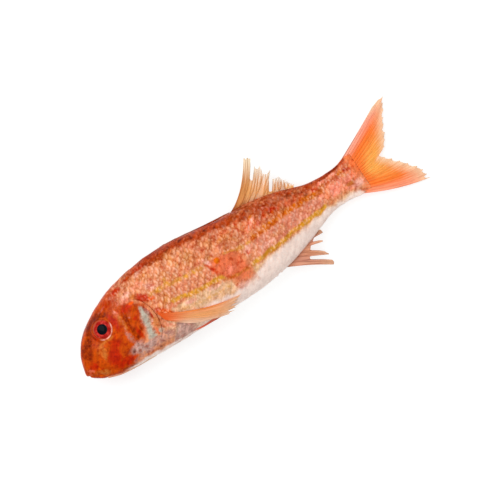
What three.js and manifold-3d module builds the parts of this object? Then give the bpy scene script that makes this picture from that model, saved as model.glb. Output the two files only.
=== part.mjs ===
// A whole red mullet, about 225 mm long, lying on its right side on a flat surface.
//
// Drawing frame, in millimetres: x runs from the snout to the tail, y from the belly to the back,
// and z up from the surface that the fish lies on. The group is moved at the end so that its origin
// is the bottom centre of the fish's box.

import * as THREE from "three";
import { mergeVertices } from "three/addons/utils/BufferGeometryUtils.js";
import Module from "manifold-3d";

const wasm = await Module();
wasm.setup();

// ---- driving dimensions ----

const BODY_LENGTH = 192; // snout to the end of the flesh at the tail
const GAP = 0.3; // clearance between pieces that touch
const FIN_THICKNESS = 0.8;
const RINGS = 56; // stations along the body
const SPOKES = 44; // points round each station
const FULLNESS = 0.87; // below 1 the section is fuller than an ellipse
const WIDEST_LEVEL = 0.54; // height of the widest point, as a share of the body's depth

// Outlines as [distance from the snout, value]
const BACK = [
  [0, -10], [1.2, -4.6], [4.7, 2.8], [9.3, 8.4], [19.3, 15.6], [34.3, 22.2], [50, 25.4],
  [69, 26.7], [90, 24.4], [109, 21.1], [121, 20.2], [139, 16.9], [157, 11.6], [173, 9.3],
  [184, 10.3], [192, 12.4],
];
const BELLY = [
  [0, -10], [1.3, -12.6], [4.3, -15], [9.3, -17.6], [14.3, -19.2], [24.3, -20.8], [44.3, -22.3],
  [69.3, -23.2], [95, -23.4], [114, -23.4], [126, -22.3], [140, -19.2], [152, -15], [163, -11.2],
  [173, -9.7], [184, -11.4], [192, -14.3],
];
const HALF_WIDTH = [
  [0, 0], [1.3, 3.2], [4.7, 5.6], [9.3, 7.6], [20, 10.4], [35, 13.2], [55, 15], [80, 15],
  [105, 13.6], [130, 10.6], [150, 7], [165, 4.8], [178, 3.4], [188, 1.9], [192, 1.1],
];
// Height of the spine above the surface: the tail droops towards it
const SPINE_HEIGHT = [
  [0, 13], [30, 14], [50, 14], [66, 13.5], [110, 13.3], [150, 10.2], [178, 6.8], [192, 5],
  [206, 3.3], [226, 1.4],
];

// The eye is a flattened ball, sunk in its socket
const EYE = { x: 21.8, y: 6.4, radius: 6.2, depth: 3.5, sunk: 1.9, spokes: 28, rings: 14 };

const GILL_COVER = { proud: 0.4, thickness: 1.6, growth: 1.045 };
const GILL_COVER_OUTLINE = [
  [38.5, 10], [44, 11.3], [48.5, 8], [51, 2], [51.8, -5], [50, -12], [46, -17], [40.5, -19.6],
  [35.5, -18.6], [33.6, -13], [34.4, -5], [36.2, 3],
];

const BARBEL = { radius: 0.75, spread: 1.9, sides: 8, steps: 12 };
const BARBEL_STATIONS = [9.5, 16, 24, 32, 39];

const RED = 0xc4502c;
const ORANGE = 0xf08a4b;
const PALE_ORANGE = 0xe2a878;
const EYE_RED = 0xb3231f;

// ---- the body's surface ----

// A smooth line through the knots. It runs on the square root of the distance from the snout, so that
// an outline can rise straight up from a blunt snout.
function along(knots) {
  const place = knots.map(([x]) => Math.sqrt(x));
  const value = knots.map(([, v]) => v);
  const last = knots.length - 1;
  const slope = value.map((_, i) => {
    const a = Math.max(i - 1, 0);
    const b = Math.min(i + 1, last);
    return (value[b] - value[a]) / (place[b] - place[a]);
  });
  return (x) => {
    const s = Math.sqrt(Math.max(x, 0));
    let i = 0;
    while (i < last - 1 && s > place[i + 1]) i += 1;
    const step = place[i + 1] - place[i];
    const t = Math.min((s - place[i]) / step, 1);
    return (
      value[i] * (1 + 2 * t) * (1 - t) ** 2 +
      value[i + 1] * t * t * (3 - 2 * t) +
      step * (slope[i] * t * (1 - t) ** 2 - slope[i + 1] * t * t * (1 - t))
    );
  };
}

const backAt = along(BACK);
const bellyAt = along(BELLY);
const halfWidthAt = along(HALF_WIDTH);
const spineAt = along(SPINE_HEIGHT);

// The section at a distance from the snout: its widest level, its reach up, down and sideways
function sectionAt(x, inset) {
  const level = bellyAt(x) + WIDEST_LEVEL * (backAt(x) - bellyAt(x));
  return {
    level,
    up: Math.max(backAt(x) - level - inset, 0),
    down: Math.max(level - bellyAt(x) - inset, 0),
    side: Math.max(halfWidthAt(x) - inset, 0),
  };
}

const fuller = (v) => Math.sign(v) * Math.abs(v) ** FULLNESS;

// A point of the skin: angle 0 faces up from the left flank, a quarter turn on is the back
function skin(x, angle, inset = 0) {
  const { level, up, down, side } = sectionAt(x, inset);
  const rise = fuller(Math.sin(angle));
  return new THREE.Vector3(
    x,
    level + rise * (rise > 0 ? up : down),
    spineAt(x) + fuller(Math.cos(angle)) * side,
  );
}

// The skin at a place of the side view. side is 1 on the left flank, which is on top, and -1 on the right.
function flank(x, y, side, inset = 0) {
  const section = sectionAt(x, inset);
  const reach = y > section.level ? section.up : section.down;
  const rise = Math.min(Math.abs(y - section.level) / reach, 1) ** (1 / FULLNESS);
  const out = Math.sqrt(1 - rise * rise) ** FULLNESS;
  return new THREE.Vector3(x, y, spineAt(x) + side * section.side * out);
}

// ---- solids ----

const seamless = (geometry) => {
  const bare = geometry.clone();
  bare.deleteAttribute("normal");
  bare.deleteAttribute("uv");
  return mergeVertices(bare, 1e-4);
};

function solid(geometry) {
  const merged = seamless(geometry);
  return new wasm.Manifold(
    new wasm.Mesh({
      numProp: 3,
      vertProperties: merged.attributes.position.array,
      triVerts: new Uint32Array(merged.index.array),
    }),
  );
}

function geometryOf(made) {
  const mesh = made.getMesh();
  const geometry = new THREE.BufferGeometry();
  geometry.setAttribute("position", new THREE.BufferAttribute(mesh.vertProperties, 3));
  geometry.setIndex(new THREE.BufferAttribute(mesh.triVerts, 1));
  geometry.computeVertexNormals();
  return geometry;
}

// The largest piece of a cut solid
const largest = (made) => made.decompose().sort((a, b) => b.volume() - a.volume())[0];

// A ball drawn out into the body's shape: its poles are the snout and the middle of the tail's end.
function bodyBlank(inset) {
  const ball = new THREE.SphereGeometry(1, SPOKES, RINGS);
  const { position, uv } = ball.attributes;
  const spine = (x) => new THREE.Vector3(x, sectionAt(x, inset).level, spineAt(x));
  for (let i = 0; i < position.count; i++) {
    const row = Math.round((1 - uv.getY(i)) * RINGS);
    const x = inset + (BODY_LENGTH - 2 * inset) * Math.min(row / (RINGS - 1), 1) ** 1.4;
    const pole = row === 0 || row === RINGS;
    const column = Math.round(uv.getX(i) * SPOKES) % SPOKES;
    const point = pole ? spine(x) : skin(x, (column / SPOKES) * 2 * Math.PI, inset);
    position.setXYZ(i, point.x, point.y, point.z);
  }
  return solid(ball);
}

const box = (size, centre) =>
  solid(new THREE.BoxGeometry(...size).translate(...centre));

const floor = box([400, 200, 40], [100, 0, -20]);
const grownBody = bodyBlank(-GAP);

// A flat plate of the given outline, bent to the height that heightAt(x, y) gives its middle
function plate(outline, heightAt, thickness = FIN_THICKNESS) {
  const shape = new THREE.Shape(outline.map(([x, y]) => new THREE.Vector2(x, y)));
  const geometry = new THREE.ExtrudeGeometry(shape, { depth: thickness, bevelEnabled: false });
  const { position } = geometry.attributes;
  for (let i = 0; i < position.count; i++) {
    const middle = heightAt(position.getX(i), position.getY(i));
    position.setZ(i, position.getZ(i) - thickness / 2 + middle);
  }
  return solid(geometry);
}

// A fin is drawn running into the body and trimmed where it meets the skin.
const fin = (outline, heightAt) => largest(plate(outline, heightAt).subtract(grownBody));

// ---- eyes ----

function eyeball(side, growth) {
  const centre = flank(EYE.x, EYE.y, side);
  const step = 0.5;
  const lengthways = flank(EYE.x + step, EYE.y, side).sub(flank(EYE.x - step, EYE.y, side));
  const upwards = flank(EYE.x, EYE.y + step, side).sub(flank(EYE.x, EYE.y - step, side));
  const outwards = lengthways.cross(upwards).normalize().multiplyScalar(side);
  const turn = new THREE.Quaternion().setFromUnitVectors(new THREE.Vector3(0, 0, 1), outwards);
  const ball = new THREE.SphereGeometry(1, EYE.spokes, EYE.rings);
  ball.rotateX(Math.PI / 2);
  ball.scale(EYE.radius + growth, EYE.radius + growth, EYE.depth + growth);
  ball.applyQuaternion(turn);
  centre.addScaledVector(outwards, -EYE.sunk);
  ball.translate(centre.x, centre.y, centre.z);
  return solid(ball);
}

// ---- gill covers ----

// The side view's outline of a cover as a block through one flank, grown about its middle
function coverBlock(side, growth) {
  const rim = new THREE.SplineCurve(
    [...GILL_COVER_OUTLINE, GILL_COVER_OUTLINE[0]].map(([x, y]) => new THREE.Vector2(x, y)),
  ).getPoints(36);
  rim.pop();
  const middle = new THREE.Box2().setFromPoints(rim).getCenter(new THREE.Vector2());
  const outline = rim.map((p) => p.sub(middle).multiplyScalar(growth).add(middle));
  const reach = 20;
  const spine = spineAt(middle.x);
  const block = new THREE.ExtrudeGeometry(new THREE.Shape(outline), { depth: reach, bevelEnabled: false });
  block.translate(0, 0, side > 0 ? spine + 1 : spine - 1 - reach);
  return solid(block);
}

function gillCover(side) {
  const { proud, thickness } = GILL_COVER;
  const shell = bodyBlank(-proud).subtract(bodyBlank(thickness - proud));
  return largest(coverBlock(side, 1).intersect(shell).subtract(floor));
}

// The room that a cover takes out of the body
const coverRecess = (side) => {
  const depth = GILL_COVER.thickness - GILL_COVER.proud + GAP;
  return coverBlock(side, GILL_COVER.growth).subtract(bodyBlank(depth));
};

// ---- barbels ----

// A barbel lies back in the throat groove, half sunk in the skin.
function barbel(side, growth) {
  const points = BARBEL_STATIONS.map((x) => {
    const z = spineAt(x) + side * BARBEL.spread;
    return new THREE.Vector3(x, bellyAt(x) + 0.1, z);
  });
  const round = new THREE.Shape();
  round.absarc(0, 0, BARBEL.radius + growth, 0, 2 * Math.PI);
  const path = new THREE.CatmullRomCurve3(points);
  const settings = {
    steps: BARBEL.steps,
    extrudePath: path,
    curveSegments: BARBEL.sides,
    bevelEnabled: false,
  };
  return solid(new THREE.ExtrudeGeometry(round, settings));
}

const barbelGroove = (side) => {
  const x = BARBEL_STATIONS[0];
  const end = new THREE.SphereGeometry(BARBEL.radius + 2 * GAP, 12, 8);
  end.translate(x, bellyAt(x) + 0.1, spineAt(x) + side * BARBEL.spread);
  return barbel(side, GAP).add(solid(end));
};

// ---- fins ----

const onSpine = (x) => spineAt(x);

const firstDorsalFin = () =>
  fin(
    [
      [50, 23], [52, 26.4], [60, 27.7], [70, 28], [80, 27], [90, 25.7], [100, 23.9], [109, 22.5],
      [116, 21.8], [118.6, 21.2], [117, 19], [100, 20], [70, 24],
    ],
    onSpine,
  );

const secondDorsalFin = () =>
  fin(
    [
      [119.5, 17], [119.8, 20.8], [124, 24], [129.3, 27.7], [134.3, 32.2], [137.2, 36.2],
      [140.2, 41], [142.7, 39.7], [140.8, 36], [139.2, 32], [142.5, 33], [145.6, 33.4],
      [144.9, 31], [142.6, 28], [146, 28.6], [149, 28.3], [147, 26], [143.6, 23.4], [140.6, 21],
      [145, 21.6], [149.8, 21.4], [150.6, 19.4], [153.4, 17.4], [154.2, 15.2], [157.6, 13],
      [155, 9], [139, 12],
    ],
    onSpine,
  );

const analFin = () =>
  fin(
    [
      [124, -20], [124, -22.7], [130, -25.2], [136, -28.5], [142.3, -32.5], [147.3, -35.2],
      [149.6, -34.8], [149.9, -33], [145, -30.2], [141, -27.4], [145, -27.9], [149, -29.2],
      [149.4, -27.7], [145, -25.2], [142, -22.6], [147, -22.2], [151.6, -22], [151.4, -21.2],
      [146.5, -20.6], [143.4, -19.8], [148, -19], [154, -17.4], [154.6, -16.2], [152, -11],
      [140, -15],
    ],
    onSpine,
  );

const caudalFin = () =>
  fin(
    [
      [185, 9], [189, 11.6], [195, 13.7], [201, 16.3], [209.3, 20.3], [217.3, 24.5],
      [224.8, 26.8], [222.5, 22.8], [219.4, 18], [217, 13.2], [214.8, 8.8], [211, 5], [207.5, 2.8],
      [198.8, 1], [204, 0.4], [207.5, -1], [211.3, -4.6], [213.4, -8.4], [217, -13], [220.3, -17.8],
      [221.8, -21.5], [222.4, -25.4], [218, -24.4], [213, -22.8], [206.3, -20.9], [199.3, -17.2],
      [192.3, -13.9], [187, -11.4],
    ],
    onSpine,
  );

const leftPectoralFin = () =>
  fin(
    [
      [54.5, -6.3], [57, -6.4], [62, -9], [68.3, -12.7], [79.3, -16], [89.3, -18.8], [97.6, -20.7],
      [95, -21.9], [94.4, -23.6], [92.8, -25.4], [90, -26.4], [86, -26], [80, -24.8], [72, -22.2],
      [64.5, -17.8], [59, -12.9], [55, -10.4],
    ],
    (x, y) => 28.4 - 0.11 * (x - 56) - 0.014 * (y + 8) ** 2,
  );

// The right one is folded back and lies on the surface, in the room under the curve of the belly.
const rightPectoralFin = () =>
  fin(
    [
      [56, -13.4], [64, -14.4], [75, -15.4], [87, -17.6], [97, -20.2], [95, -21.4], [86, -21.2],
      [74, -19.8], [63, -18], [56.5, -16.8],
    ],
    () => FIN_THICKNESS / 2,
  );

// The pelvic fins are folded back along the belly, one each side of its middle.
const pelvicFin = (side) =>
  fin(
    [
      [60, -20], [60.4, -21.9], [66, -23.1], [76, -25.1], [83, -25.6], [88.4, -24.7], [86, -23.2],
      [76, -20.6], [66, -19.4],
    ],
    (x) => spineAt(x) + side * (6.2 - 0.03 * (x - 60)),
  );

// ---- the fish ----

const fish = new THREE.Group();

function addPiece(name, made, color, roughness) {
  const material = new THREE.MeshStandardMaterial({ color, roughness, metalness: 0 });
  const mesh = new THREE.Mesh(geometryOf(made), material);
  mesh.name = name;
  fish.add(mesh);
}

const LEFT = 1;
const RIGHT = -1;
const cuts = [LEFT, RIGHT].flatMap((side) => [
  eyeball(side, GAP),
  coverRecess(side),
  barbelGroove(side),
]);
const body = cuts.reduce((rest, cut) => rest.subtract(cut), bodyBlank(0)).subtract(floor);

addPiece("body", largest(body), RED, 0.35);
for (const [side, word] of [[LEFT, "left"], [RIGHT, "right"]]) {
  addPiece(`${word}_eye`, eyeball(side, 0), EYE_RED, 0.1);
  addPiece(`${word}_gill_cover`, gillCover(side), RED, 0.3);
  addPiece(`${word}_barbel`, barbel(side, 0), PALE_ORANGE, 0.45);
  addPiece(`${word}_pelvic_fin`, pelvicFin(side), RED, 0.45);
}
addPiece("left_pectoral_fin", leftPectoralFin(), ORANGE, 0.45);
addPiece("right_pectoral_fin", rightPectoralFin(), ORANGE, 0.45);
addPiece("first_dorsal_fin", firstDorsalFin(), PALE_ORANGE, 0.45);
addPiece("second_dorsal_fin", secondDorsalFin(), PALE_ORANGE, 0.45);
addPiece("anal_fin", analFin(), PALE_ORANGE, 0.45);
addPiece("caudal_fin", caudalFin(), ORANGE, 0.45);

// The origin is the bottom centre of the fish's box.
const bounds = new THREE.Box3().setFromObject(fish);
const middle = bounds.getCenter(new THREE.Vector3());
fish.position.set(-middle.x, -middle.y, -bounds.min.z);

export default fish;
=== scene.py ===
"""The looks of a whole red mullet, about 225 mm long, lying on its right side on a pale table.

Shapes are worked out in the fish's chart, in millimetres: x runs back from the snout, y up from the
middle line to the back, and z up from the table. The left flank faces up. A finished mesh is moved
from the chart to the frame of the CAD solids, in metres, which it is built around.
"""

import logging
import math
from dataclasses import dataclass, field
from enum import Enum

import bmesh
import bpy
import numpy as np
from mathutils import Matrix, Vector
from mathutils.bvhtree import BVHTree

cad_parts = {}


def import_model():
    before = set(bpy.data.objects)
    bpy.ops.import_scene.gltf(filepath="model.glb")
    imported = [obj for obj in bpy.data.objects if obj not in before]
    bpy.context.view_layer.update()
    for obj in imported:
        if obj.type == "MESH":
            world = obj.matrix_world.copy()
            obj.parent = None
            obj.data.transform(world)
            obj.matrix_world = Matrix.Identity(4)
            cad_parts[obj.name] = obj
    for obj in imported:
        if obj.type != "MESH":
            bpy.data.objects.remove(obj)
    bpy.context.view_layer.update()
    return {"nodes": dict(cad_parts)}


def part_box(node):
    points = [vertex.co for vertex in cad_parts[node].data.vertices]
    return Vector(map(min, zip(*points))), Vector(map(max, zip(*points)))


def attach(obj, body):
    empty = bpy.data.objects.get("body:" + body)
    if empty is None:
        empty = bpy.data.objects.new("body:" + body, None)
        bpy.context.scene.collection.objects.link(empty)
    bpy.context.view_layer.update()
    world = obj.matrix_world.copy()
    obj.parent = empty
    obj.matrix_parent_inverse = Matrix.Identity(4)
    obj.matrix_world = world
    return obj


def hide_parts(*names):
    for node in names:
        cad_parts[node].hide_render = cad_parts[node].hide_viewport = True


MM = 0.001  # metres in a millimetre
MIDDLE_LINE = 23.5  # the middle line's height over the body's lower edge
CLEAR = 0.02  # the least height of a piece over the table
ROOT = "root"
log = logging.getLogger("red_mullet")

Points = np.ndarray
Place = tuple[float, float]


class Side(Enum):
    """A flank of the fish. The value is the way the flank faces: the left one is on top."""

    LEFT = 1
    RIGHT = -1

    @property
    def word(self) -> str:
        """The side's name, as it starts the names of its pieces."""
        return self.name.lower()


# ---- numbers and lines ----


def rise(value: Points, low: Points | float, high: Points | float) -> Points:
    """A smooth step.

    Args:
        value: Where to read the step.
        low: The value at which the result is 0.
        high: The value at which the result is 1. It may be the smaller of the two.

    Returns:
        Values from 0 to 1.
    """
    t = np.clip((value - low) / (high - low), 0.0, 1.0)
    return t * t * (3.0 - 2.0 * t)


def ripple(points: Points, length: float, seed: int, waves: int = 9) -> Points:
    """Smooth irregular waves, the same at each run.

    Args:
        points: One row for each place.
        length: The mean wavelength, in the points' units.
        seed: Picks one pattern.
        waves: How many plain waves are added up.

    Returns:
        One value for each place, mostly between -1 and 1.
    """
    draw = np.random.default_rng(seed)
    ways = draw.normal(size=(waves, points.shape[1]))
    ways /= np.linalg.norm(ways, axis=1, keepdims=True)
    pace = draw.uniform(0.6, 1.5, waves) * math.tau / length
    start = draw.uniform(0.0, math.tau, waves)
    return np.sin(points @ ways.T * pace + start).sum(axis=1) / math.sqrt(waves / 2.0) * 0.6


def blur(grid: Points, reach: float, axis: int, closed: bool) -> Points:
    """Smooths a grid of values along one axis.

    Args:
        grid: The values.
        reach: The blur's standard deviation, in steps of the grid.
        axis: The axis to blur along.
        closed: True where the axis runs round and meets itself.

    Returns:
        The smoothed grid.
    """
    half = int(math.ceil(reach * 3.0))
    weight = np.exp(-0.5 * (np.arange(-half, half + 1) / reach) ** 2)
    weight /= weight.sum()
    room = [(half, half) if a == axis else (0, 0) for a in range(grid.ndim)]
    wide = np.pad(grid, room, mode="wrap" if closed else "edge")
    size = grid.shape[axis]
    parts = [w * wide.take(range(i, i + size), axis=axis) for i, w in enumerate(weight)]
    return np.sum(parts, axis=0)


def distance_to_line(x: Points, y: Points, line: tuple[Place, ...]) -> Points:
    """The distance from each place of the side view to a line of straight stretches."""
    nearest = np.full(x.shape, np.inf)
    for (ax, ay), (bx, by) in zip(line[:-1], line[1:]):
        dx, dy = bx - ax, by - ay
        t = np.clip(((x - ax) * dx + (y - ay) * dy) / (dx * dx + dy * dy), 0.0, 1.0)
        nearest = np.minimum(nearest, np.hypot(x - ax - t * dx, y - ay - t * dy))
    return nearest


def line_height(line: tuple[Place, ...], x: Points) -> Points:
    """The height of a line that runs from left to right, at each x."""
    return np.interp(x, [place[0] for place in line], [place[1] for place in line])


def bend(start: Points, end: Points, bow: Points, t: Points) -> Points:
    """Points of a bowed line.

    Args:
        start: Where the line starts.
        end: Where it ends.
        bow: How far its middle is moved off the straight line.
        t: Shares of its length.

    Returns:
        The points.
    """
    return start * (1.0 - t) + end * t + bow * 4.0 * t * (1.0 - t)


# ---- the chart, and meshes made in it ----


@dataclass(frozen=True)
class Chart:
    """Ties the fish's chart to the frame of the CAD solids.

    Args:
        snout: The frame's x at the chart's x of 0, in metres.
        middle: The frame's y at the chart's y of 0, in metres.
    """

    snout: float
    middle: float

    @classmethod
    def of_body(cls) -> "Chart":
        """The chart that fits the CAD body."""
        low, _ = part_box("body")
        return cls(low.x, low.y + MIDDLE_LINE * MM)

    def to_frame(self, points: Points) -> Points:
        """Places of the chart, in the frame and in metres."""
        return points * MM + np.array([self.snout, self.middle, 0.0])

    def from_frame(self, points: Points) -> Points:
        """Places of the frame, in the chart and in millimetres."""
        return (points - np.array([self.snout, self.middle, 0.0])) / MM

    def solid_points(self, node: bpy.types.Object) -> Points:
        """A CAD node's vertices, in the chart."""
        flat = np.zeros(len(node.data.vertices) * 3)
        node.data.vertices.foreach_get("co", flat)
        return self.from_frame(flat.reshape(-1, 3))

    def tree(self, nodes: list[bpy.types.Object]) -> BVHTree:
        """A tree of CAD nodes that rays can be cast at, in the chart."""
        points: list[Points] = []
        faces: list[tuple[int, ...]] = []
        for node in nodes:
            start = sum(len(p) for p in points)
            points.append(self.solid_points(node))
            faces += [tuple(start + i for i in face.vertices) for face in node.data.polygons]
        return BVHTree.FromPolygons(np.concatenate(points).tolist(), faces)


def set_points(mesh: bpy.types.Mesh, points: Points) -> None:
    """Moves all of a mesh's vertices."""
    mesh.vertices.foreach_set("co", np.ascontiguousarray(points, dtype=np.float32).ravel())
    mesh.update()


def get_points(mesh: bpy.types.Mesh) -> Points:
    """A mesh's vertices, one row each."""
    flat = np.zeros(len(mesh.vertices) * 3)
    mesh.vertices.foreach_get("co", flat)
    return flat.reshape(-1, 3)


def mark(mesh: bpy.types.Mesh, name: str, values: Points) -> None:
    """Stores one value at each vertex, for the mesh's material to read."""
    attribute = mesh.attributes.new(name, "FLOAT", "POINT")
    attribute.data.foreach_set("value", np.ascontiguousarray(values, dtype=np.float32))


def ball_blank(name: str, spokes: int, rings: int) -> tuple[bpy.types.Mesh, Points, Points]:
    """A ball to be drawn out into a round shape.

    Args:
        name: The mesh's name.
        spokes: How many vertices each ring has.
        rings: How many steps there are from one pole to the other.

    Returns:
        The mesh, and each vertex's ring, counted from 0 at the first pole, and spoke.
    """
    bm = bmesh.new()
    bmesh.ops.create_uvsphere(bm, u_segments=spokes, v_segments=rings, radius=1.0)
    mesh = bpy.data.meshes.new(name)
    bm.to_mesh(mesh)
    bm.free()
    at = get_points(mesh)
    ring = np.rint(np.arccos(np.clip(at[:, 2], -1.0, 1.0)) / math.pi * rings).astype(int)
    spoke = np.rint(np.arctan2(at[:, 1], at[:, 0]) / (math.tau) * spokes).astype(int) % spokes
    return mesh, ring, spoke


def leaf_blank(name: str, columns: int, rows: int) -> tuple[bpy.types.Mesh, Points, Points, Points]:
    """A closed leaf of two skins that meet along their edges, to be bent into a fin.

    Args:
        name: The mesh's name.
        columns: How many steps there are across it.
        rows: How many steps there are along it.

    Returns:
        The mesh, and each vertex's column, row and skin, which is 1 or -1.
    """
    bm = bmesh.new()
    bmesh.ops.create_grid(bm, x_segments=columns, y_segments=rows, size=1.0)
    count = len(bm.verts)
    bmesh.ops.duplicate(bm, geom=[*bm.verts, *bm.edges, *bm.faces])
    bm.verts.ensure_lookup_table()
    bmesh.ops.reverse_faces(bm, faces=[f for f in bm.faces if f.verts[0].index >= count])
    bm.verts.index_update()
    for vertex in bm.verts[count:]:
        vertex.co.z = -1.0
    rim = [edge for edge in bm.edges if edge.is_boundary]
    bmesh.ops.bridge_loops(bm, edges=rim)
    mesh = bpy.data.meshes.new(name)
    bm.to_mesh(mesh)
    bm.free()
    at = get_points(mesh)
    column = np.rint((at[:, 0] + 1.0) / 2.0 * columns).astype(int)
    row = np.rint((at[:, 1] + 1.0) / 2.0 * rows).astype(int)
    return mesh, column, row, np.where(at[:, 2] < -0.5, -1.0, 1.0)


@dataclass(frozen=True)
class Workbench:
    """Turns meshes of the chart into finished pieces of the fish."""

    chart: Chart

    def finish(self, mesh: bpy.types.Mesh, material: bpy.types.Material, slot: str, node: str) -> None:
        """Makes a piece of a mesh.

        Args:
            mesh: The closed mesh, in the chart. The piece has its name.
            material: Its finish.
            slot: The slot of that finish. It is not used.
            node: The CAD node that the piece stands for.
        """
        set_points(mesh, self.chart.to_frame(get_points(mesh)))
        bm = bmesh.new()
        bm.from_mesh(mesh)
        bmesh.ops.recalc_face_normals(bm, faces=bm.faces)
        for face in bm.faces:
            face.smooth = True
        bm.to_mesh(mesh)
        bm.free()
        mesh.materials.append(material)
        piece = bpy.data.objects.new(mesh.name, mesh)
        bpy.context.scene.collection.objects.link(piece)
        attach(piece, ROOT)
        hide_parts(node)
        log.info("%s: %d faces", piece.name, len(mesh.polygons))


# ---- the skin's smooth shape ----


@dataclass
class Hull:
    """The fish's smooth shape, read from the CAD solids by rays cast out from its spine.

    Args:
        chart: The fish's chart.
        solids: The CAD nodes that make up the outside.
        length: How far back the flesh reaches.
        stations: How many rings there are between the snout and the tail.
        spokes: How many rays each ring has.
    """

    chart: Chart
    solids: list[bpy.types.Object]
    length: float = 192.0
    stations: int = 470
    spokes: int = 196
    crowding: float = 1.3  # above 1 the rings stand closer together at the snout
    lean: float = 0.3  # above 0 the rays stand closer together on the left flank
    at: Points = field(init=False)
    x: Points = field(init=False)
    angle: Points = field(init=False)

    # The spine, as distances from the snout with their heights in the side view and over the table
    SPINE_X = (0.0, 1.2, 4.7, 9.3, 19.3, 34.0, 60.0, 95.0, 121.0, 140.0, 157.0, 173.0, 192.0)
    SPINE_Y = (-10.0, -8.5, -6.4, -4.6, -2.0, 0.3, 1.6, 0.2, -1.4, -1.2, -0.8, -0.2, -1.0)
    SPINE_Z = (13.0, 13.1, 13.2, 13.4, 13.7, 14.0, 13.7, 13.4, 12.6, 11.4, 9.4, 7.4, 5.0)

    def __post_init__(self) -> None:
        """Reads the shape."""
        share = np.arange(1, self.stations + 1) / (self.stations + 1.0)
        self.x = self.length * share**self.crowding
        even = np.arange(self.spokes) / self.spokes * math.tau
        fine = np.linspace(-math.pi, 3.0 * math.pi, 4001)
        self.angle = np.interp(even, fine + self.lean * np.sin(fine), fine)
        reach = self.smoothed(self.cast())
        self.at = self.spine()[:, None, :] + reach[..., None] * self.rays()[None]
        self.at[..., 2] = np.maximum(self.at[..., 2], CLEAR)

    def spine(self) -> Points:
        """The point of each station that its rays start from."""
        pace = np.sqrt(self.x)
        knots = np.sqrt(np.array(self.SPINE_X))
        level = blur(np.interp(pace, knots, self.SPINE_Y), 8.0, 0, False)
        height = blur(np.interp(pace, knots, self.SPINE_Z), 8.0, 0, False)
        return np.stack([self.x, level, height], axis=1)

    def rays(self) -> Points:
        """The rays' directions. An angle of 0 faces up, and a quarter turn on is the back."""
        return np.stack([np.zeros(self.spokes), np.sin(self.angle), np.cos(self.angle)], axis=1)

    def cast(self) -> Points:
        """How far each ray reaches before it leaves the solids."""
        tree = self.chart.tree(self.solids)
        far = 60.0
        reach = np.zeros((self.stations, self.spokes))
        ways = [Vector(w) for w in self.rays()]
        for i, start in enumerate(self.spine()):
            for j, way in enumerate(ways):
                hit = tree.ray_cast(Vector(start) + way * far, -way, far)
                reach[i, j] = far - hit[3] if hit[0] is not None else 0.0
        return reach

    def smoothed(self, reach: Points) -> Points:
        """The reach with the slits between the solids closed and their facets smoothed."""
        shifts = [(i, j) for i in (-1, 0, 1) for j in (-2, -1, 0, 1, 2)]
        wide = np.max([self.shifted(reach, i, j) for i, j in shifts], axis=0)
        closed = np.min([self.shifted(wide, i, j) for i, j in shifts], axis=0)
        return blur(blur(closed, 3.5, 0, False), 2.6, 1, True)

    @staticmethod
    def shifted(grid: Points, stations: int, spokes: int) -> Points:
        """A grid moved along the body and round it."""
        rows = np.clip(np.arange(grid.shape[0]) + stations, 0, grid.shape[0] - 1)
        return np.roll(grid[rows], spokes, axis=1)

    def normals(self, at: Points) -> Points:
        """The outward directions of a grid of skin points."""
        padded = np.concatenate([at[:1], at, at[-1:]])
        along = padded[2:] - padded[:-2]
        around = np.roll(at, -1, axis=1) - np.roll(at, 1, axis=1)
        normal = np.cross(around, along)
        normal /= np.maximum(np.linalg.norm(normal, axis=2, keepdims=True), 1e-9)
        outward = np.sum(normal * self.rays()[None], axis=2, keepdims=True)
        return normal * np.sign(outward.mean())

    def from_back(self) -> Points:
        """The distance over the skin from the middle of the back to each point, on either flank."""
        ring = np.concatenate([self.at, self.at[:, :1]], axis=1)
        walked = np.cumsum(np.linalg.norm(np.diff(ring, axis=1), axis=2), axis=1)
        walked = np.concatenate([np.zeros((self.stations, 1)), walked], axis=1)
        turn = np.concatenate([self.angle, [self.angle[0] + math.tau]])
        whole = walked[:, -1:]
        back = np.array([np.interp(math.pi / 2.0, turn, row) for row in walked])[:, None]
        there = np.abs(walked[:, :-1] - back)
        return np.minimum(there, whole - there)

    def edges(self) -> tuple[Points, Points]:
        """The side view's upper and lower outline at each station."""
        return self.at[..., 1].max(axis=1), self.at[..., 1].min(axis=1)

    def tree(self) -> BVHTree:
        """The smooth shape as a tree that rays can be cast at."""
        flat = self.at.reshape(-1, 3)
        faces = []
        for i in range(self.stations - 1):
            for j in range(self.spokes):
                k = (j + 1) % self.spokes
                row, after = i * self.spokes, (i + 1) * self.spokes
                faces.append((row + j, row + k, after + k, after + j))
        return BVHTree.FromPolygons(flat.tolist(), faces)


@dataclass(frozen=True)
class Surface:
    """Finds places on the smooth skin."""

    tree: BVHTree

    def find(self, x: Points, y: Points, side: Side) -> tuple[Points, Points]:
        """The skin at places of the side view.

        Args:
            x: Distances from the snout.
            y: Heights in the side view.
            side: The flank.

        Returns:
            The points of the skin, which are the nearest ones where the place is off the fish, and
            the skin's outward directions there.
        """
        far = 80.0
        down = Vector((0.0, 0.0, -side.value))
        found, outward = np.zeros((len(x), 3)), np.zeros((len(x), 3))
        for i, (px, py) in enumerate(zip(x, y)):
            hit, normal, _, _ = self.tree.ray_cast(Vector((px, py, side.value * far)), down, 2.0 * far)
            if hit is None:
                hit, normal, _, _ = self.tree.find_nearest(Vector((px, py, 13.0)))
            found[i] = hit
            outward[i] = normal * (1.0 if normal.z * side.value > 0.0 else -1.0)
        return found, outward


# ---- shader nodes ----


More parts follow.
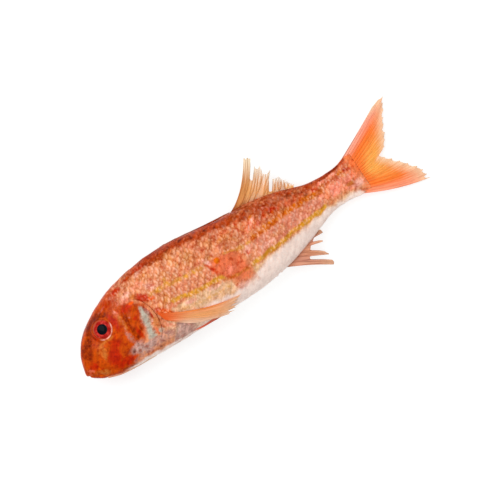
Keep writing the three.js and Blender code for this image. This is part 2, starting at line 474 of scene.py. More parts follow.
@dataclass
class Recipe:
    """Builds a material's or a group's nodes.

    Args:
        tree: The node tree to build in.
    """

    tree: bpy.types.NodeTree

    def add(self, kind: str, **settings: object) -> bpy.types.Node:
        """Adds a node and sets its properties."""
        node = self.tree.nodes.new(kind)
        for name, value in settings.items():
            setattr(node, name, value)
        return node

    def feed(self, socket: bpy.types.NodeSocket, value: object) -> None:
        """Links an output to a socket, or sets the socket to a number or colour."""
        if isinstance(value, bpy.types.NodeSocket):
            self.tree.links.new(value, socket)
        else:
            socket.default_value = value

    def mask(self, name: str) -> bpy.types.NodeSocket:
        """Reads a mesh's stored values."""
        return self.add("ShaderNodeAttribute", attribute_name=name).outputs["Fac"]

    def place(self) -> bpy.types.NodeSocket:
        """Reads the place on the piece."""
        return self.add("ShaderNodeTexCoord").outputs["Object"]

    def math(self, operation: str, *values: object) -> bpy.types.NodeSocket:
        """Works out a number."""
        node = self.add("ShaderNodeMath", operation=operation)
        for socket, value in zip(node.inputs, values):
            self.feed(socket, value)
        return node.outputs["Value"]

    def noise(
        self, vector: object, scale: object, detail: float, rough: float = 0.5
    ) -> bpy.types.NodeSocket:
        """Reads a noise from about 0.3 to 0.7."""
        node = self.add("ShaderNodeTexNoise")
        self.feed(node.inputs["Vector"], vector)
        self.feed(node.inputs["Scale"], scale)
        node.inputs["Detail"].default_value = detail
        node.inputs["Roughness"].default_value = rough
        return node.outputs["Fac"]

    def step(
        self, value: object, low: object, high: object, start: float = 0.0, end: float = 1.0
    ) -> bpy.types.NodeSocket:
        """Turns low to high into start to end, smoothly."""
        node = self.add("ShaderNodeMapRange", interpolation_type="SMOOTHSTEP")
        for name, given in zip(("Value", "From Min", "From Max"), (value, low, high)):
            self.feed(node.inputs[name], given)
        node.inputs["To Min"].default_value = start
        node.inputs["To Max"].default_value = end
        return node.outputs["Result"]

    def blend(self, share: object, first: object, second: object, way: str = "MIX") -> bpy.types.NodeSocket:
        """Mixes two colours."""
        node = self.add("ShaderNodeMix", data_type="RGBA", blend_type=way)
        self.feed(node.inputs[0], share)
        self.feed(node.inputs[6], first)
        self.feed(node.inputs[7], second)
        return node.outputs[2]

    def blend_values(self, share: object, first: object, second: float) -> bpy.types.NodeSocket:
        """A value between two, by a share from 0 to 1."""
        change = self.math("MULTIPLY", self.math("SUBTRACT", second, first), share)
        return self.math("ADD", first, change)

    def bump(self, height: object, depth: float, strength: float) -> bpy.types.NodeSocket:
        """Turns a height from 0 to 1 into a normal. The depth is in metres."""
        node = self.add("ShaderNodeBump")
        node.inputs["Strength"].default_value = strength
        node.inputs["Distance"].default_value = depth
        self.feed(node.inputs["Height"], height)
        return node.outputs["Normal"]

    def use(self, group: bpy.types.NodeTree, **values: object) -> bpy.types.NodeSocket:
        """Places a shared group and returns its output."""
        node = self.add("ShaderNodeGroup", node_tree=group)
        for name, value in values.items():
            self.feed(node.inputs[name], value)
        return node.outputs[0]


def shade(code: str) -> tuple[float, float, float, float]:
    """A colour for a shader, from the six digits of its display value."""
    parts = [int(code[i : i + 2], 16) / 255.0 for i in (0, 2, 4)]
    linear = [((p + 0.055) / 1.055) ** 2.4 if p > 0.04045 else p / 12.92 for p in parts]
    return (*linear, 1.0)


def new_group(
    name: str, inputs: dict[str, float], output: str
) -> tuple[Recipe, bpy.types.Node, bpy.types.NodeSocket]:
    """Starts a shared group.

    Args:
        name: The group's name.
        inputs: The names of its number inputs, with their defaults.
        output: The name of its one number output.

    Returns:
        The recipe to build it with, the node of its inputs and the socket of its output.
    """
    group = bpy.data.node_groups.new(name, "ShaderNodeTree")
    for socket_name, value in inputs.items():
        socket = group.interface.new_socket(socket_name, in_out="INPUT", socket_type="NodeSocketFloat")
        socket.default_value = value
    group.interface.new_socket(output, in_out="OUTPUT", socket_type="NodeSocketFloat")
    recipe = Recipe(group)
    given = recipe.add("NodeGroupInput")
    end = recipe.add("NodeGroupOutput")
    return recipe, given, end.inputs[0]


def broken_edge_group() -> bpy.types.NodeTree:
    """A group that gives a soft stored mask the broken edge of pigment in skin."""
    inputs = {"Mask": 0.0, "Grain": 400.0, "Raggedness": 0.5, "Softness": 0.3}
    recipe, given, out = new_group("broken_edge", inputs, "Mask")
    grain = recipe.noise(recipe.place(), given.outputs["Grain"], 3.0, 0.6)
    shift = recipe.math("MULTIPLY", recipe.math("SUBTRACT", grain, 0.5), given.outputs["Raggedness"])
    # The shift is strongest where the mask is half, and leaves its ends alone.
    rest = recipe.math("SUBTRACT", 1.0, given.outputs["Mask"])
    middle = recipe.math("MULTIPLY", recipe.math("MULTIPLY", given.outputs["Mask"], rest), 8.0)
    shifted = recipe.math("ADD", given.outputs["Mask"], recipe.math("MULTIPLY", shift, middle))
    low = recipe.math("SUBTRACT", 0.5, given.outputs["Softness"])
    high = recipe.math("ADD", 0.5, given.outputs["Softness"])
    recipe.feed(out, recipe.step(shifted, low, high))
    return recipe.tree


def streak_group() -> bpy.types.NodeTree:
    """A group of fine streaks that run along a fin's rays."""
    inputs = {"Across": 0.0, "Along": 0.0, "Count": 60.0, "Contrast": 1.0}
    recipe, given, out = new_group("fin_streaks", inputs, "Value")
    vector = recipe.add("ShaderNodeCombineXYZ")
    recipe.feed(vector.inputs["X"], recipe.math("MULTIPLY", given.outputs["Across"], given.outputs["Count"]))
    recipe.feed(vector.inputs["Y"], recipe.math("MULTIPLY", given.outputs["Along"], 2.5))
    streak = recipe.noise(vector.outputs["Vector"], 1.0, 3.0, 0.6)
    half = recipe.math("SUBTRACT", streak, 0.5)
    recipe.feed(out, recipe.math("MULTIPLY", half, recipe.math("MULTIPLY", given.outputs["Contrast"], 2.0)))
    return recipe.tree


def wet_group() -> bpy.types.NodeTree:
    """A group that says where skin is wet, from 0 to 1."""
    recipe, given, out = new_group("wet_film", {"Grain": 90.0}, "Wet")
    broad = recipe.noise(recipe.place(), given.outputs["Grain"], 2.0)
    recipe.feed(out, recipe.step(broad, 0.36, 0.62))
    return recipe.tree


@dataclass
class SharedGroups:
    """The groups that several materials use, each built once."""

    broken_edge: bpy.types.NodeTree = field(default_factory=broken_edge_group)
    streaks: bpy.types.NodeTree = field(default_factory=streak_group)
    wet: bpy.types.NodeTree = field(default_factory=wet_group)


def start_material(name: str) -> tuple[bpy.types.Material, Recipe, bpy.types.Node]:
    """Starts a material.

    Args:
        name: The material's name.

    Returns:
        The material, the recipe to build it with, and its Principled BSDF.
    """
    material = bpy.data.materials.new(name)
    material.use_nodes = True
    recipe = Recipe(material.node_tree)
    return material, recipe, material.node_tree.nodes["Principled BSDF"]


# ---- the colours of the skin ----


@dataclass(frozen=True)
class Blotch:
    """A soft patch of pigment, in the side view.

    Args:
        x: Its middle's place along the fish, in millimetres of the frame.
        y: Its middle's height in the side view.
        long: Half its length.
        wide: Half its width.
        turn: How far its length is turned from the x axis, in degrees.
        strength: The mask's value in its middle.
        both: True where both flanks have it, and False where only the left one has.
    """

    x: float
    y: float
    long: float
    wide: float
    turn: float = 0.0
    strength: float = 1.0
    both: bool = True

    def mask(self, x: Points, y: Points) -> Points:
        """The patch's mask at places of the side view."""
        c, s = math.cos(math.radians(self.turn)), math.sin(math.radians(self.turn))
        dx, dy = x - self.x, y - self.y
        u = (dx * c + dy * s) / self.long
        v = (dy * c - dx * s) / self.wide
        return self.strength * rise(np.hypot(u, v), 1.4, 0.3)


@dataclass(frozen=True)
class Streak:
    """A soft line of pigment, in the side view.

    Args:
        line: The places it runs through.
        wide: Half its width.
        strength: The mask's value along its middle.
        both: True where both flanks have it, and False where only the left one has.
    """

    line: tuple[Place, ...]
    wide: float
    strength: float = 1.0
    both: bool = True

    def mask(self, x: Points, y: Points) -> Points:
        """The streak's mask at places of the side view."""
        return self.strength * rise(distance_to_line(x, y, self.line), self.wide * 1.6, self.wide * 0.3)


@dataclass(frozen=True)
class Pigment:
    """One colour of the skin, and where the skin has it.

    Args:
        name: The stored mask's name.
        code: The colour.
        marks: The patches and streaks that make up its mask.
        grain: How fine its broken edge is, in waves to the metre.
        ragged: How far its edge is broken.
        soft: How wide its edge fades.
    """

    name: str
    code: str
    marks: tuple[Blotch | Streak, ...] = ()
    grain: float = 450.0
    ragged: float = 1.0
    soft: float = 0.46


# Lines and marks of the side view, in millimetres of the frame
UPPER_STRIPE = (
    (-57.0, 4.6), (-50.0, 4.0), (-38.0, 2.4), (-22.0, 1.0), (0.0, -2.0), (12.0, -1.2), (28.0, 0.2),
    (46.0, 0.2), (54.0, -0.6),
)
LOWER_STRIPE = (
    (-48.5, -5.4), (-40.0, -7.4), (-32.0, -8.7), (-22.0, -9.2), (0.0, -13.4), (8.0, -13.0),
    (18.0, -12.4), (28.0, -11.0), (40.0, -10.4), (51.0, -9.2),
)
FAINT_STRIPE = ((-46.0, -12.8), (-36.0, -14.6), (-18.0, -16.2))
BELLY_LINE = (
    (-112.4, -29.0), (-76.0, -27.0), (-62.0, -17.0), (-52.0, -9.0), (-40.0, -8.6), (-32.0, -9.6),
    (-16.0, -13.4), (0.0, -14.6), (18.0, -13.6), (38.0, -11.8), (51.0, -10.0), (74.0, -9.2),
    (80.0, -9.4),
)

PIGMENTS = (
    Pigment("mauve", "DE8E74", grain=300.0),
    Pigment("cream", "EAC49A", grain=300.0),
    Pigment("chalk", "FEF0E6", grain=260.0, ragged=0.7),
    Pigment("rust", "A8380E", grain=230.0, ragged=1.9, soft=0.6),
    Pigment("orange", "BA471A", grain=260.0),
    Pigment("coral", "DE7250", (
        Blotch(-11, -5, 9, 7, 0, 1.0, False), Blotch(-9, -11, 7, 5, 0, 1.0, False),
        Blotch(-19, -4, 3, 6, 30, 0.9, False), Blotch(11, 5, 8, 4, -5, 0.85), Blotch(24, 5, 5, 2.6, 0, 0.8),
        Blotch(58, 0, 10, 4, 0, 0.9), Blotch(73, 3, 7, 4, 0, 0.8), Blotch(-4, 10, 5, 3, 0, 0.4),
        Blotch(38, 4, 9, 3, -8, 0.5), Blotch(-7, -16, 6, 3.4, 0, 0.6, False),
        Blotch(-65, -14, 1.6, 2.6, 0, 0.8), Blotch(-50, -18.6, 4, 2, -30, 0.7),
    )),
    # Pink: partly the skin's own blush, partly painted highlights on the head and the scales.
    Pigment("blush", "FF9A82", (
        Blotch(60, -4, 10, 4, 0, 1.0), Blotch(68.6, -5, 8, 5, 0, 0.85), Blotch(11, 6, 2.4, 0.9, 65, 0.9),
        Blotch(15, 4, 2.4, 0.8, 65, 0.7), Blotch(7, 3.6, 2.4, 0.8, 65, 0.7),
        Blotch(22, 9, 2.6, 0.9, -30, 0.4), Blotch(-61, 12.5, 5, 3, 0, 0.5),
        Blotch(-72, 10, 6, 2.0, -10, 0.5), Blotch(57, 3.4, 4, 1.2, 0, 0.8), Blotch(64, 3.4, 3, 1.1, 0, 0.7),
        Blotch(-109, -13, 2.4, 2.4, 0, 0.35), Blotch(-12, -8.6, 4, 2.4, 0, 0.5, False),
        Blotch(2, -6, 3, 3, 0, 0.4), Blotch(-57, -15.6, 4, 1.6, -30, 0.5),
        Blotch(-79.4, 6.4, 1.6, 3.4, 8, 0.4),
    )),
    Pigment("flush", "F47A48", grain=300.0, ragged=0.8, soft=0.8),
    # Pale pink: partly the skin's own pink marks, partly painted highlights on the head, the scales and
    # beside the bare patch.
    Pigment("rose", "F2B3A2", (
        Blotch(-21.4, 1.5, 1.4, 3.2, 30, 1.0, False), Blotch(-55, 8.4, 4, 2.4, -40, 0.7),
        Blotch(74.6, -9, 4.4, 2.8, 0, 0.75), Streak(((-79.0, 7.5), (-78.4, 0), (-80.2, -7)), 0.9, 0.26),
        Blotch(-69, 11.4, 3.6, 2.2, 0, 0.7), Blotch(-57, 17.6, 3, 1.2, 25, 0.6),
        Blotch(12.6, 7.4, 2.2, 0.7, 60, 0.9), Blotch(9, 4.8, 2.2, 0.6, 60, 0.8),
        Blotch(17.6, 6, 2, 0.6, 60, 0.6), Blotch(65, 3.6, 2.2, 1.0, 0, 0.5),
        Blotch(2, -4.4, 4, 2, -20, 0.5), Blotch(-74.4, 0.4, 1.6, 0.7, -20, 0.3),
        Blotch(-64.4, -8.4, 0.9, 0.9, 0, 0.9), Blotch(-40, -11.2, 5, 1.3, -10, 0.7),
        Blotch(-26, -12, 5, 1.4, -8, 0.7), Blotch(-12, -19.5, 6, 2.6, 0, 0.5),
        Blotch(12, -8.6, 6, 1.4, 0, 0.6), Blotch(-98, 12.5, 5, 1.2, 33, 0.7),
        Blotch(-85, 17, 5, 1.1, 22, 0.6), Blotch(-84.6, 12.4, 4, 1.2, 12, 0.34),
        Blotch(-77, 15.4, 3.4, 1.1, -14, 0.34), Blotch(-90, 14, 3, 1, 30, 0.3),
    )),
    Pigment("amber", "D07A3C", (
        Blotch(-97, -7, 4, 3.4, -50, 0.55), Blotch(-97.5, -10.6, 1.4, 3.6, -15, 0.55),
        Blotch(-103, -17, 5, 1.8, -25, 0.6), Blotch(-78.6, 1, 1.5, 7.5, 0, 0.6),
        Blotch(-66, 8.6, 2.6, 1.8, -40, 0.9), Blotch(-8, 7.4, 3.4, 1.6, 20, 0.7),
        Blotch(-1.6, 8.4, 2.4, 1.4, 0, 0.5), Blotch(68, 1.8, 3, 1.2, 0, 0.8),
        Blotch(70, -6.4, 4, 1.6, 0, 0.7), Blotch(-12, -13, 5, 1.3, -8, 0.8, False),
        Blotch(-5, -13.4, 3, 1.2, 0, 0.7, False), Blotch(-91, -3.6, 6, 1.2, -4, 0.7),
        Blotch(-63, -10, 2.4, 3, 0, 0.5), Blotch(-56, 15.4, 4, 1.6, 20, 0.4),
        Blotch(52, -8.6, 7, 1.0, 0, 0.5),
    ), grain=320.0),
    Pigment("scarlet", "BA2606", (
        Blotch(-93.2, -13.4, 4.2, 6.6, -12, 0.95), Blotch(-88, -7.4, 4, 4, 20, 0.75),
        Blotch(-83, 3, 2.2, 7, 8, 0.85), Blotch(-73, 5.6, 4, 3.2, 0, 0.8),
        Blotch(-71.4, -2.4, 1.8, 1.8, 0, 0.8), Blotch(-74, -10, 1.5, 5, 5, 0.75),
        Blotch(-72.4, 16.6, 4, 1.8, 10, 0.8), Blotch(-80, 13, 6, 2.4, 15, 0.45),
        Blotch(-105.4, -11.6, 3.6, 2.8, -20, 0.75), Blotch(-61.4, 5, 5.4, 2.1, -42, 1.0),
        Blotch(-57.6, -5.2, 3.4, 2.0, -30, 0.8), Blotch(4, 9.4, 1.6, 4.4, -25, 0.5),
        Blotch(25, 5.4, 3.6, 2.2, -20, 0.9), Blotch(19.6, 6.4, 1, 3, -30, 0.6),
        Blotch(51.5, 1.2, 2.4, 2, 0, 0.8), Blotch(73, 1.4, 3, 1.1, -20, 0.7),
        Blotch(-95.6, 1.8, 3, 3.4, 0, 0.7), Blotch(-88, -18.5, 6, 2.2, 0, 0.8),
        Blotch(-38, 4.8, 1, 2.6, -10, 0.4), Blotch(1, -6.4, 1.6, 1.2, 40, 0.6),
        Blotch(-66, 19.4, 3, 1.4, 10, 0.5), Blotch(-25, 4.6, 1.2, 1.8, 0, 0.5),
        Blotch(-63.6, -3.4, 0.9, 5, 8, 0.75), Blotch(-55, 20.4, 5, 1.6, 0, 0.6),
        Streak(((-23.0, 0.6), (-21.4, -2.4), (-19.8, -4.6)), 0.9, 0.6, False),
        Blotch(60, 0.6, 4, 1.1, 10, 0.5),
    )),
    Pigment("ember", "EE5C22", (
        Blotch(-55.4, -9.4, 5.4, 2.2, -42, 1.0), Blotch(-50, -14, 3, 1.6, -40, 0.8),
        Blotch(-69, 6.2, 2, 1.1, -10, 0.9), Blotch(-57.4, 2.4, 2.4, 1.4, -30, 0.7),
        Blotch(-16, -0.8, 2.0, 1.9, 0, 1.0, False), Blotch(-104, -13.8, 3, 1.4, -10, 0.5),
        Blotch(-85.6, -4.6, 2.2, 1.6, 0, 0.6), Blotch(-20.4, -5.6, 1.2, 2, 40, 0.6, False),
        Blotch(75, -3, 3, 4, 0, 0.3),
    ), grain=320.0),
    Pigment("silver", "B6B0A0", (
        Blotch(-66.4, 0, 1.5, 3, -8, 0.5),
        Streak(((-65.8, -2.2), (-66.8, -5.0), (-67.8, -10.0), (-69.0, -15.0)), 2.6, 0.78),
        Blotch(-54, -21, 5, 2, -10, 0.5), Blotch(-62.5, -15, 2, 2.4, 0, 0.5),
    ), grain=280.0),
    Pigment("pearl", "C8A094", (
        Blotch(-79.4, -9.4, 2.4, 5, 6, 0.42), Blotch(-80, -15.4, 5.4, 2.6, 12, 0.8),
        Blotch(-73, -18.6, 8, 2.6, 0, 0.9), Blotch(-62, -19, 6, 3, 0, 0.6),
        Blotch(-78.6, -17, 3, 2, 0, 0.7), Blotch(-84, -21, 9, 1.4, 3, 0.4),
    ), grain=420.0, ragged=1.4),
    Pigment("umber", "7A2206", (
        Streak(((-76.2, 4), (-76.4, -4), (-75.6, -12)), 1.1, 0.45),
        Streak(((-110.4, -4), (-107, 2.4), (-101, 8), (-93.6, 12.6)), 0.6, 0.3),
        Blotch(-104.4, -2.6, 7, 4, 55, 0.62), Blotch(-99, 3, 5, 2.6, 45, 0.5),
        Blotch(-96.6, 7.8, 4.4, 2.4, 40, 0.7), Blotch(-91, 10.2, 5.6, 2.2, 18, 0.85),
        Blotch(-84.6, 8.4, 1.6, 2.2, -40, 0.6), Blotch(-71.6, -8, 0.7, 2.4, 0, 0.5),
        Streak(((-112.4, -14.5), (-107.4, -16.5), (-102.4, -18.9)), 0.4, 0.3),
        Blotch(-70, 12.8, 0.8, 0.7, 0, 0.8), Blotch(-101.8, -0.6, 0.6, 0.5, 0, 0.8),
        Blotch(-100, 1.1, 0.6, 0.5, 0, 0.8), Blotch(66, 5.6, 7, 0.9, 3, 0.9),
        Blotch(36, 7, 10, 1.6, -14, 0.45), Blotch(8, 16.6, 5, 1.4, 0, 0.5),
        Streak(((-64.6, 0.6), (-63.8, -6)), 0.8, 0.45),
        Streak(((-59.6, -9.6), (-54, -14.6), (-47, -17)), 0.6, 0.55), Blotch(-90, -21.4, 6, 0.9, -2, 0.5),
        Blotch(-44, 20.6, 7, 1.2, -3, 0.3), Blotch(-68, -21.5, 0.8, 0.7, 0, 0.4),
        Blotch(45, 5, 6, 1.4, -20, 0.4),
    ), grain=520.0, ragged=1.1),
    Pigment("slate", "7A5048", (
        Blotch(-82.2, -16, 1.6, 1.2, 30, 0.8), Blotch(-84, -14.6, 1.6, 0.9, 40, 0.4),
        Blotch(-68.6, -21.6, 1.0, 0.8, 0, 0.5),
    ), grain=520.0, ragged=0.8),
    Pigment("ochre", "DA9A3A", (
        Streak(UPPER_STRIPE[:5], 1.5, 0.5), Streak(LOWER_STRIPE, 1.4, 0.92), Streak(FAINT_STRIPE, 0.9, 0.4),
        Blotch(-35.6, 2, 1.5, 2.6, 10, 0.7), Blotch(-46.4, 4.6, 1.2, 2.8, 10, 0.6),
        Blotch(-40, 2, 1, 2, 0, 0.5), Blotch(-52, 4, 2.6, 1.6, 0, 0.4), Blotch(-30, 1.6, 1, 2, 0, 0.5),
        Blotch(4.4, -2, 2, 1.2, 0, 0.6), Blotch(38, -10.4, 12, 1.5, 2, 0.6),
        Blotch(-46, 7.4, 2, 1.4, 0, 0.5),
    ), grain=240.0, ragged=0.8),
    Pigment("tangerine", "D2680A", (
        Streak(UPPER_STRIPE[5:], 1.7, 0.68), Blotch(9, -1.4, 4.4, 1.7, 0, 0.7),
        Blotch(-16, -0.9, 1.9, 1.8, 0, 1.0, False), Blotch(18, -1.4, 3, 1.5, 0, 0.6),
        Blotch(36, 0.4, 8, 1.8, 0, 0.5), Blotch(-3.6, -1, 1, 3, 0, 0.5), Blotch(68, 1.8, 2.4, 1.0, 0, 0.7),
        Blotch(13, 9, 2.4, 1.2, 20, 0.6), Blotch(34, -10, 4, 1.0, 0, 0.4),
    ), grain=260.0, ragged=1.2),
)


@dataclass
class Colouring:
    """Works out where the skin has each pigment.

    Args:
        hull: The skin's smooth shape.
    """

    hull: Hull
    upper: Points = field(init=False)
    lower: Points = field(init=False)

    def __post_init__(self) -> None:
        """Reads the side view's outline."""
        self.upper, self.lower = self.hull.edges()

    def masks(self, at: Points, left: Points) -> dict[str, Points]:
        """The pigments' masks.

        Args:
            at: Places on the skin.
            left: True for the places on the left flank.

        Returns:
            The mask of each pigment at each place, by name.
        """
        wander = np.stack([ripple(at, 7.0, seed) for seed in (3, 4)], axis=1) * 0.4
        moved = at[:, :2] + wander
        x, y = self.placed(moved)
        found = {p.name: self.marked(p, x, y, left) for p in PIGMENTS}
        for name, extra in self.washes(moved, at[:, 2]).items():
            found[name] = np.maximum(found[name], extra)
        bare = self.bare(moved, left)
        found["ochre"] = found["ochre"] * (1.0 - 0.95 * bare)
        found["mauve"] = found["mauve"] * (1.0 - bare)
        found["chalk"] = found["chalk"] * (1.0 - 0.5 * bare)
        found["cream"] = found["cream"] * (1.0 - 0.9 * bare)
        return found

    def placed(self, at: Points) -> tuple[Points, Points]:
        """The frame's x and y of places of the side view, in millimetres."""
        chart = self.hull.chart
        return at[:, 0] + chart.snout / MM, at[:, 1] + chart.middle / MM

    @staticmethod
    def marked(pigment: Pigment, x: Points, y: Points, left: Points) -> Points:
        """The mask that a pigment's own patches and streaks make."""
        bare = np.ones(x.shape)
        for patch in pigment.marks:
            there = patch.mask(x, y)
            bare = bare * (1.0 - (there if patch.both else there * left))
        return 1.0 - bare

    def bare(self, at: Points, left: Points) -> Points:
        """Where the left flank has lost its scales."""
        x, y = self.placed(at)
        front = np.interp(y, (-23.0, -11.0, -4.0, 1.0), (-13.0, -17.0, -21.0, -24.0))
        rear = np.interp(y, (-21.0, -9.0, -2.0, 1.0), (-1.5, -0.6, -4.0, -14.0))
        inside = rise(x, front - 0.8, front + 1.0) * rise(x, rear + 1.0, rear - 1.0)
        return inside * rise(y, 2.4, 0.8) * rise(y, -23.5, -19.0) * left

    def washes(self, at: Points, height: Points) -> dict[str, Points]:
        """The broad changes of colour from the head to the tail and from the back to the belly."""
        x, y = self.placed(at)
        below_back = np.interp(at[:, 0], self.hull.x, self.upper) - at[:, 1]
        over_keel = at[:, 1] - np.interp(at[:, 0], self.hull.x, self.lower)
        cap = np.interp(x, (-76, -60, -40, -20, -6, 3, 9, 20, 32, 45, 53, 60, 70, 78),
                        (1.5, 4.2, 5.8, 4.8, 5.2, 6.4, 9.5, 13.0, 12.0, 8.5, 4.4, 2.6, 2.2, 1.0))
        rust = rise(below_back, cap * 1.5, cap * 0.6) * rise(x, -78.0, -62.0) * rise(x, 80.0, 72.0)
        rust = rust * np.interp(x, (-60, -50, 0, 12, 46, 60), (0.75, 1.0, 1.0, 0.72, 0.8, 1.0))
        rust = np.maximum(rust, 0.36 * rise(x, -42.0, -14.0) * rise(x, 54.0, 46.0) * rise(y, -1.0, 4.0))
        dashes = rise(ripple(np.stack([x, 0.3 * y, height], axis=1), 3.4, 71), 0.0, 1.0)
        below_line = line_height(BELLY_LINE, x) - y
        cream = rise(below_line, -1.2, 1.8) * rise(x, -66.0, -52.0) * rise(x, 74.0, 64.0)
        chalk_start = np.interp(x, (-60, -40, -20, -10, 8, 52, 78), (9.0, 8.0, 7.0, 5.0, 0.8, 0.4, 2.0))
        chalk = rise(below_line, chalk_start - 1.2, chalk_start + 2.2)
        chalk = chalk * rise(x, -52.0, -34.0) * rise(x, 75.0, 68.0)
        keel = rise(over_keel, 3.0, 0.6) * rise(x, -98.0, -86.0) * rise(x, 78.0, 70.0)
        pearl = 0.92 * rise(below_line, 4.0, 9.0) * rise(x, -38.0, -52.0) * rise(x, -88.0, -78.0)
        upper, lower = line_height(UPPER_STRIPE, x), line_height(LOWER_STRIPE, x)
        between = rise(y, upper - 0.5, upper - 3.0) * rise(y, lower - 0.6, lower + 1.6)
        mauve = between * rise(x, -54.0, -42.0) * rise(x, 56.0, 48.0)
        mauve = mauve * np.interp(x, (-42, 0, 10), (0.35, 0.4, 0.9))
        head = np.interp(y, (-24.0, -8.0, 2.0, 10.0, 20.0), (-88.0, -67.0, -62.0, -74.0, -72.0))
        orange = rise(x, head + 5.0, head - 5.0) * (1.0 - 0.8 * keel)
        flush = 0.85 * rise(x, 71.0, 78.5) * (0.25 + 0.75 * rise(y, -8.0, -2.0))
        return {
            "rust": rust,
            "cream": cream,
            "chalk": np.maximum(chalk, keel),
            "mauve": mauve,
            "orange": orange,
            "flush": flush,
            "pearl": pearl * (1.0 - 0.6 * keel),
            "umber": 0.62 * dashes * rust * rise(rust, 0.3, 0.6),
        }


# ---- finishes ----


@dataclass(frozen=True)
class SkinFinish:
    """The wet, scaled skin.

    Args:
        flank: The colour under all the pigments.
        rim: What a scale's free edge turns the colour to.
        glint: The colour of the painted highlight, a pale crescent in front of that edge.
        blood: What the darker mottles turn the colour to.
        warm: The colour that some scales lean to.
        cool: The colour that others lean to.
        mottle: How strong the mottles are.
        patchwork: How far the scales lean to their own colours.
        vivid: How saturated the colours are.
        roughness: The dry skin's roughness.
        wet_roughness: The wet skin's roughness.
        film: The weight of the wet film's own gloss.
        film_roughness: That film's roughness.
    """

    flank: str = "DC926A"
    rim: str = "BC5C34"
    # The colour of the painted highlight on the scales.
    glint: str = "FACDB6"
    blood: str = "E08C6C"
    warm: str = "DE9A50"
    cool: str = "E28A70"
    mottle: float = 0.75
    patchwork: float = 0.16
    vivid: float = 1.03
    roughness: float = 0.5
    wet_roughness: float = 0.3
    film: float = 0.12
    film_roughness: float = 0.16

    def material(self, name: str, groups: SharedGroups) -> bpy.types.Material:
        """Makes the material.

        Args:
            name: Its name.
            groups: The shared groups.

        Returns:
            The material, which reads the masks that Colouring stores.
        """
        material, recipe, surface = start_material(name)
        colour: object = shade(self.flank)
        for pigment in PIGMENTS:
            share = recipe.use(
                groups.broken_edge,
                Mask=recipe.mask(pigment.name),
                Grain=pigment.grain,
                Raggedness=pigment.ragged * 0.62,
                Softness=pigment.soft,
            )
            colour = recipe.blend(share, colour, shade(pigment.code))
        scaly = recipe.mask("scaly")
        fine = recipe.noise(recipe.place(), 900.0, 4.0, 0.65)
        broad = recipe.noise(recipe.place(), 150.0, 3.0, 0.6)
        blotchy = recipe.noise(recipe.place(), 420.0, 3.0, 0.6)
        calm = recipe.mask("chalk")
        for pigment, much in (("cream", 0.6), ("ochre", 0.7), ("blush", 0.45), ("mauve", 0.5)):
            calm = recipe.math("MAXIMUM", calm, recipe.math("MULTIPLY", recipe.mask(pigment), much))
        pale = recipe.math("MULTIPLY_ADD", calm, -0.85, 1.0)
        blood = recipe.math("MULTIPLY", recipe.step(blotchy, 0.46, 0.7, 0.0, self.mottle), pale)
        colour = recipe.blend(blood, colour, shade(self.blood), "MULTIPLY")
        tone = recipe.mask("tone")
        dark = recipe.math("MULTIPLY_ADD", recipe.mask("rust"), -0.85, 1.0)
        pale = recipe.math("MULTIPLY", pale, dark)
        for low, high, code in ((0.45, 0.95, self.warm), (0.55, 0.05, self.cool)):
            share = recipe.math("MULTIPLY", recipe.step(tone, low, high, 0.0, self.patchwork), scaly)
            colour = recipe.blend(recipe.math("MULTIPLY", share, pale), colour, shade(code))
        for low, high, code in ((0.5, 0.66, self.warm), (0.46, 0.3, self.cool)):
            share = recipe.math("MULTIPLY", recipe.step(broad, low, high, 0.0, 0.42), scaly)
            colour = recipe.blend(recipe.math("MULTIPLY", share, pale), colour, shade(code))
        uneven = recipe.step(broad, 0.42, 0.6)
        rim = recipe.math("MULTIPLY", recipe.mask("rim"), recipe.math("MULTIPLY_ADD", uneven, 0.5, 0.14))
        rim = recipe.math("MULTIPLY", rim, recipe.math("MULTIPLY_ADD", calm, -0.85, 1.0))
        colour = recipe.blend(recipe.math("MULTIPLY", rim, scaly), colour, shade(self.rim), "MULTIPLY")
        # Painted highlight: pale crescents in front of the scales' free edges, patchy and weaker on the dark
        # back.
        glint = recipe.math("MULTIPLY", recipe.mask("glint"), recipe.step(blotchy, 0.6, 0.4, 0.0, 0.42))
        glint = recipe.math("MULTIPLY", glint, recipe.math("MULTIPLY", scaly, dark))
        colour = recipe.blend(glint, colour, shade(self.glint))
        slant = recipe.add("ShaderNodeMapping", vector_type="TEXTURE")
        slant.inputs["Rotation"].default_value = (0.0, 0.0, math.radians(50.0))
        slant.inputs["Scale"].default_value = (4.0, 1.0, 2.0)
        recipe.feed(slant.inputs["Vector"], recipe.place())
        strokes = recipe.noise(slant.outputs["Vector"], 560.0, 2.0, 0.5)
        grain = recipe.step(fine, 0.3, 0.7, 0.9, 1.1)
        grain = recipe.math("MULTIPLY", grain, recipe.step(strokes, 0.34, 0.66, 0.87, 1.15))
        grain = recipe.math("MULTIPLY", grain, recipe.step(blotchy, 0.66, 0.36, 0.94, 1.08))
        value = recipe.add("ShaderNodeHueSaturation")
        value.inputs["Saturation"].default_value = self.vivid
        even = recipe.math("MULTIPLY", recipe.mask("chalk"), 0.6)
        recipe.feed(value.inputs["Value"], recipe.blend_values(even, grain, 1.0))
        recipe.feed(value.inputs["Color"], colour)
        recipe.feed(surface.inputs["Base Color"], value.outputs["Color"])
        wet = recipe.use(groups.wet)
        rough = recipe.step(wet, 0.0, 1.0, self.roughness, self.wet_roughness)
        recipe.feed(surface.inputs["Roughness"], rough)
        recipe.feed(surface.inputs["Coat Weight"], recipe.math("MULTIPLY", wet, self.film))
        surface.inputs["Coat Roughness"].default_value = self.film_roughness
        surface.inputs["Coat IOR"].default_value = 1.3
        surface.inputs["Specular IOR Level"].default_value = 0.05
        recipe.feed(surface.inputs["Normal"], recipe.bump(fine, 0.0003, 0.35))
        return material


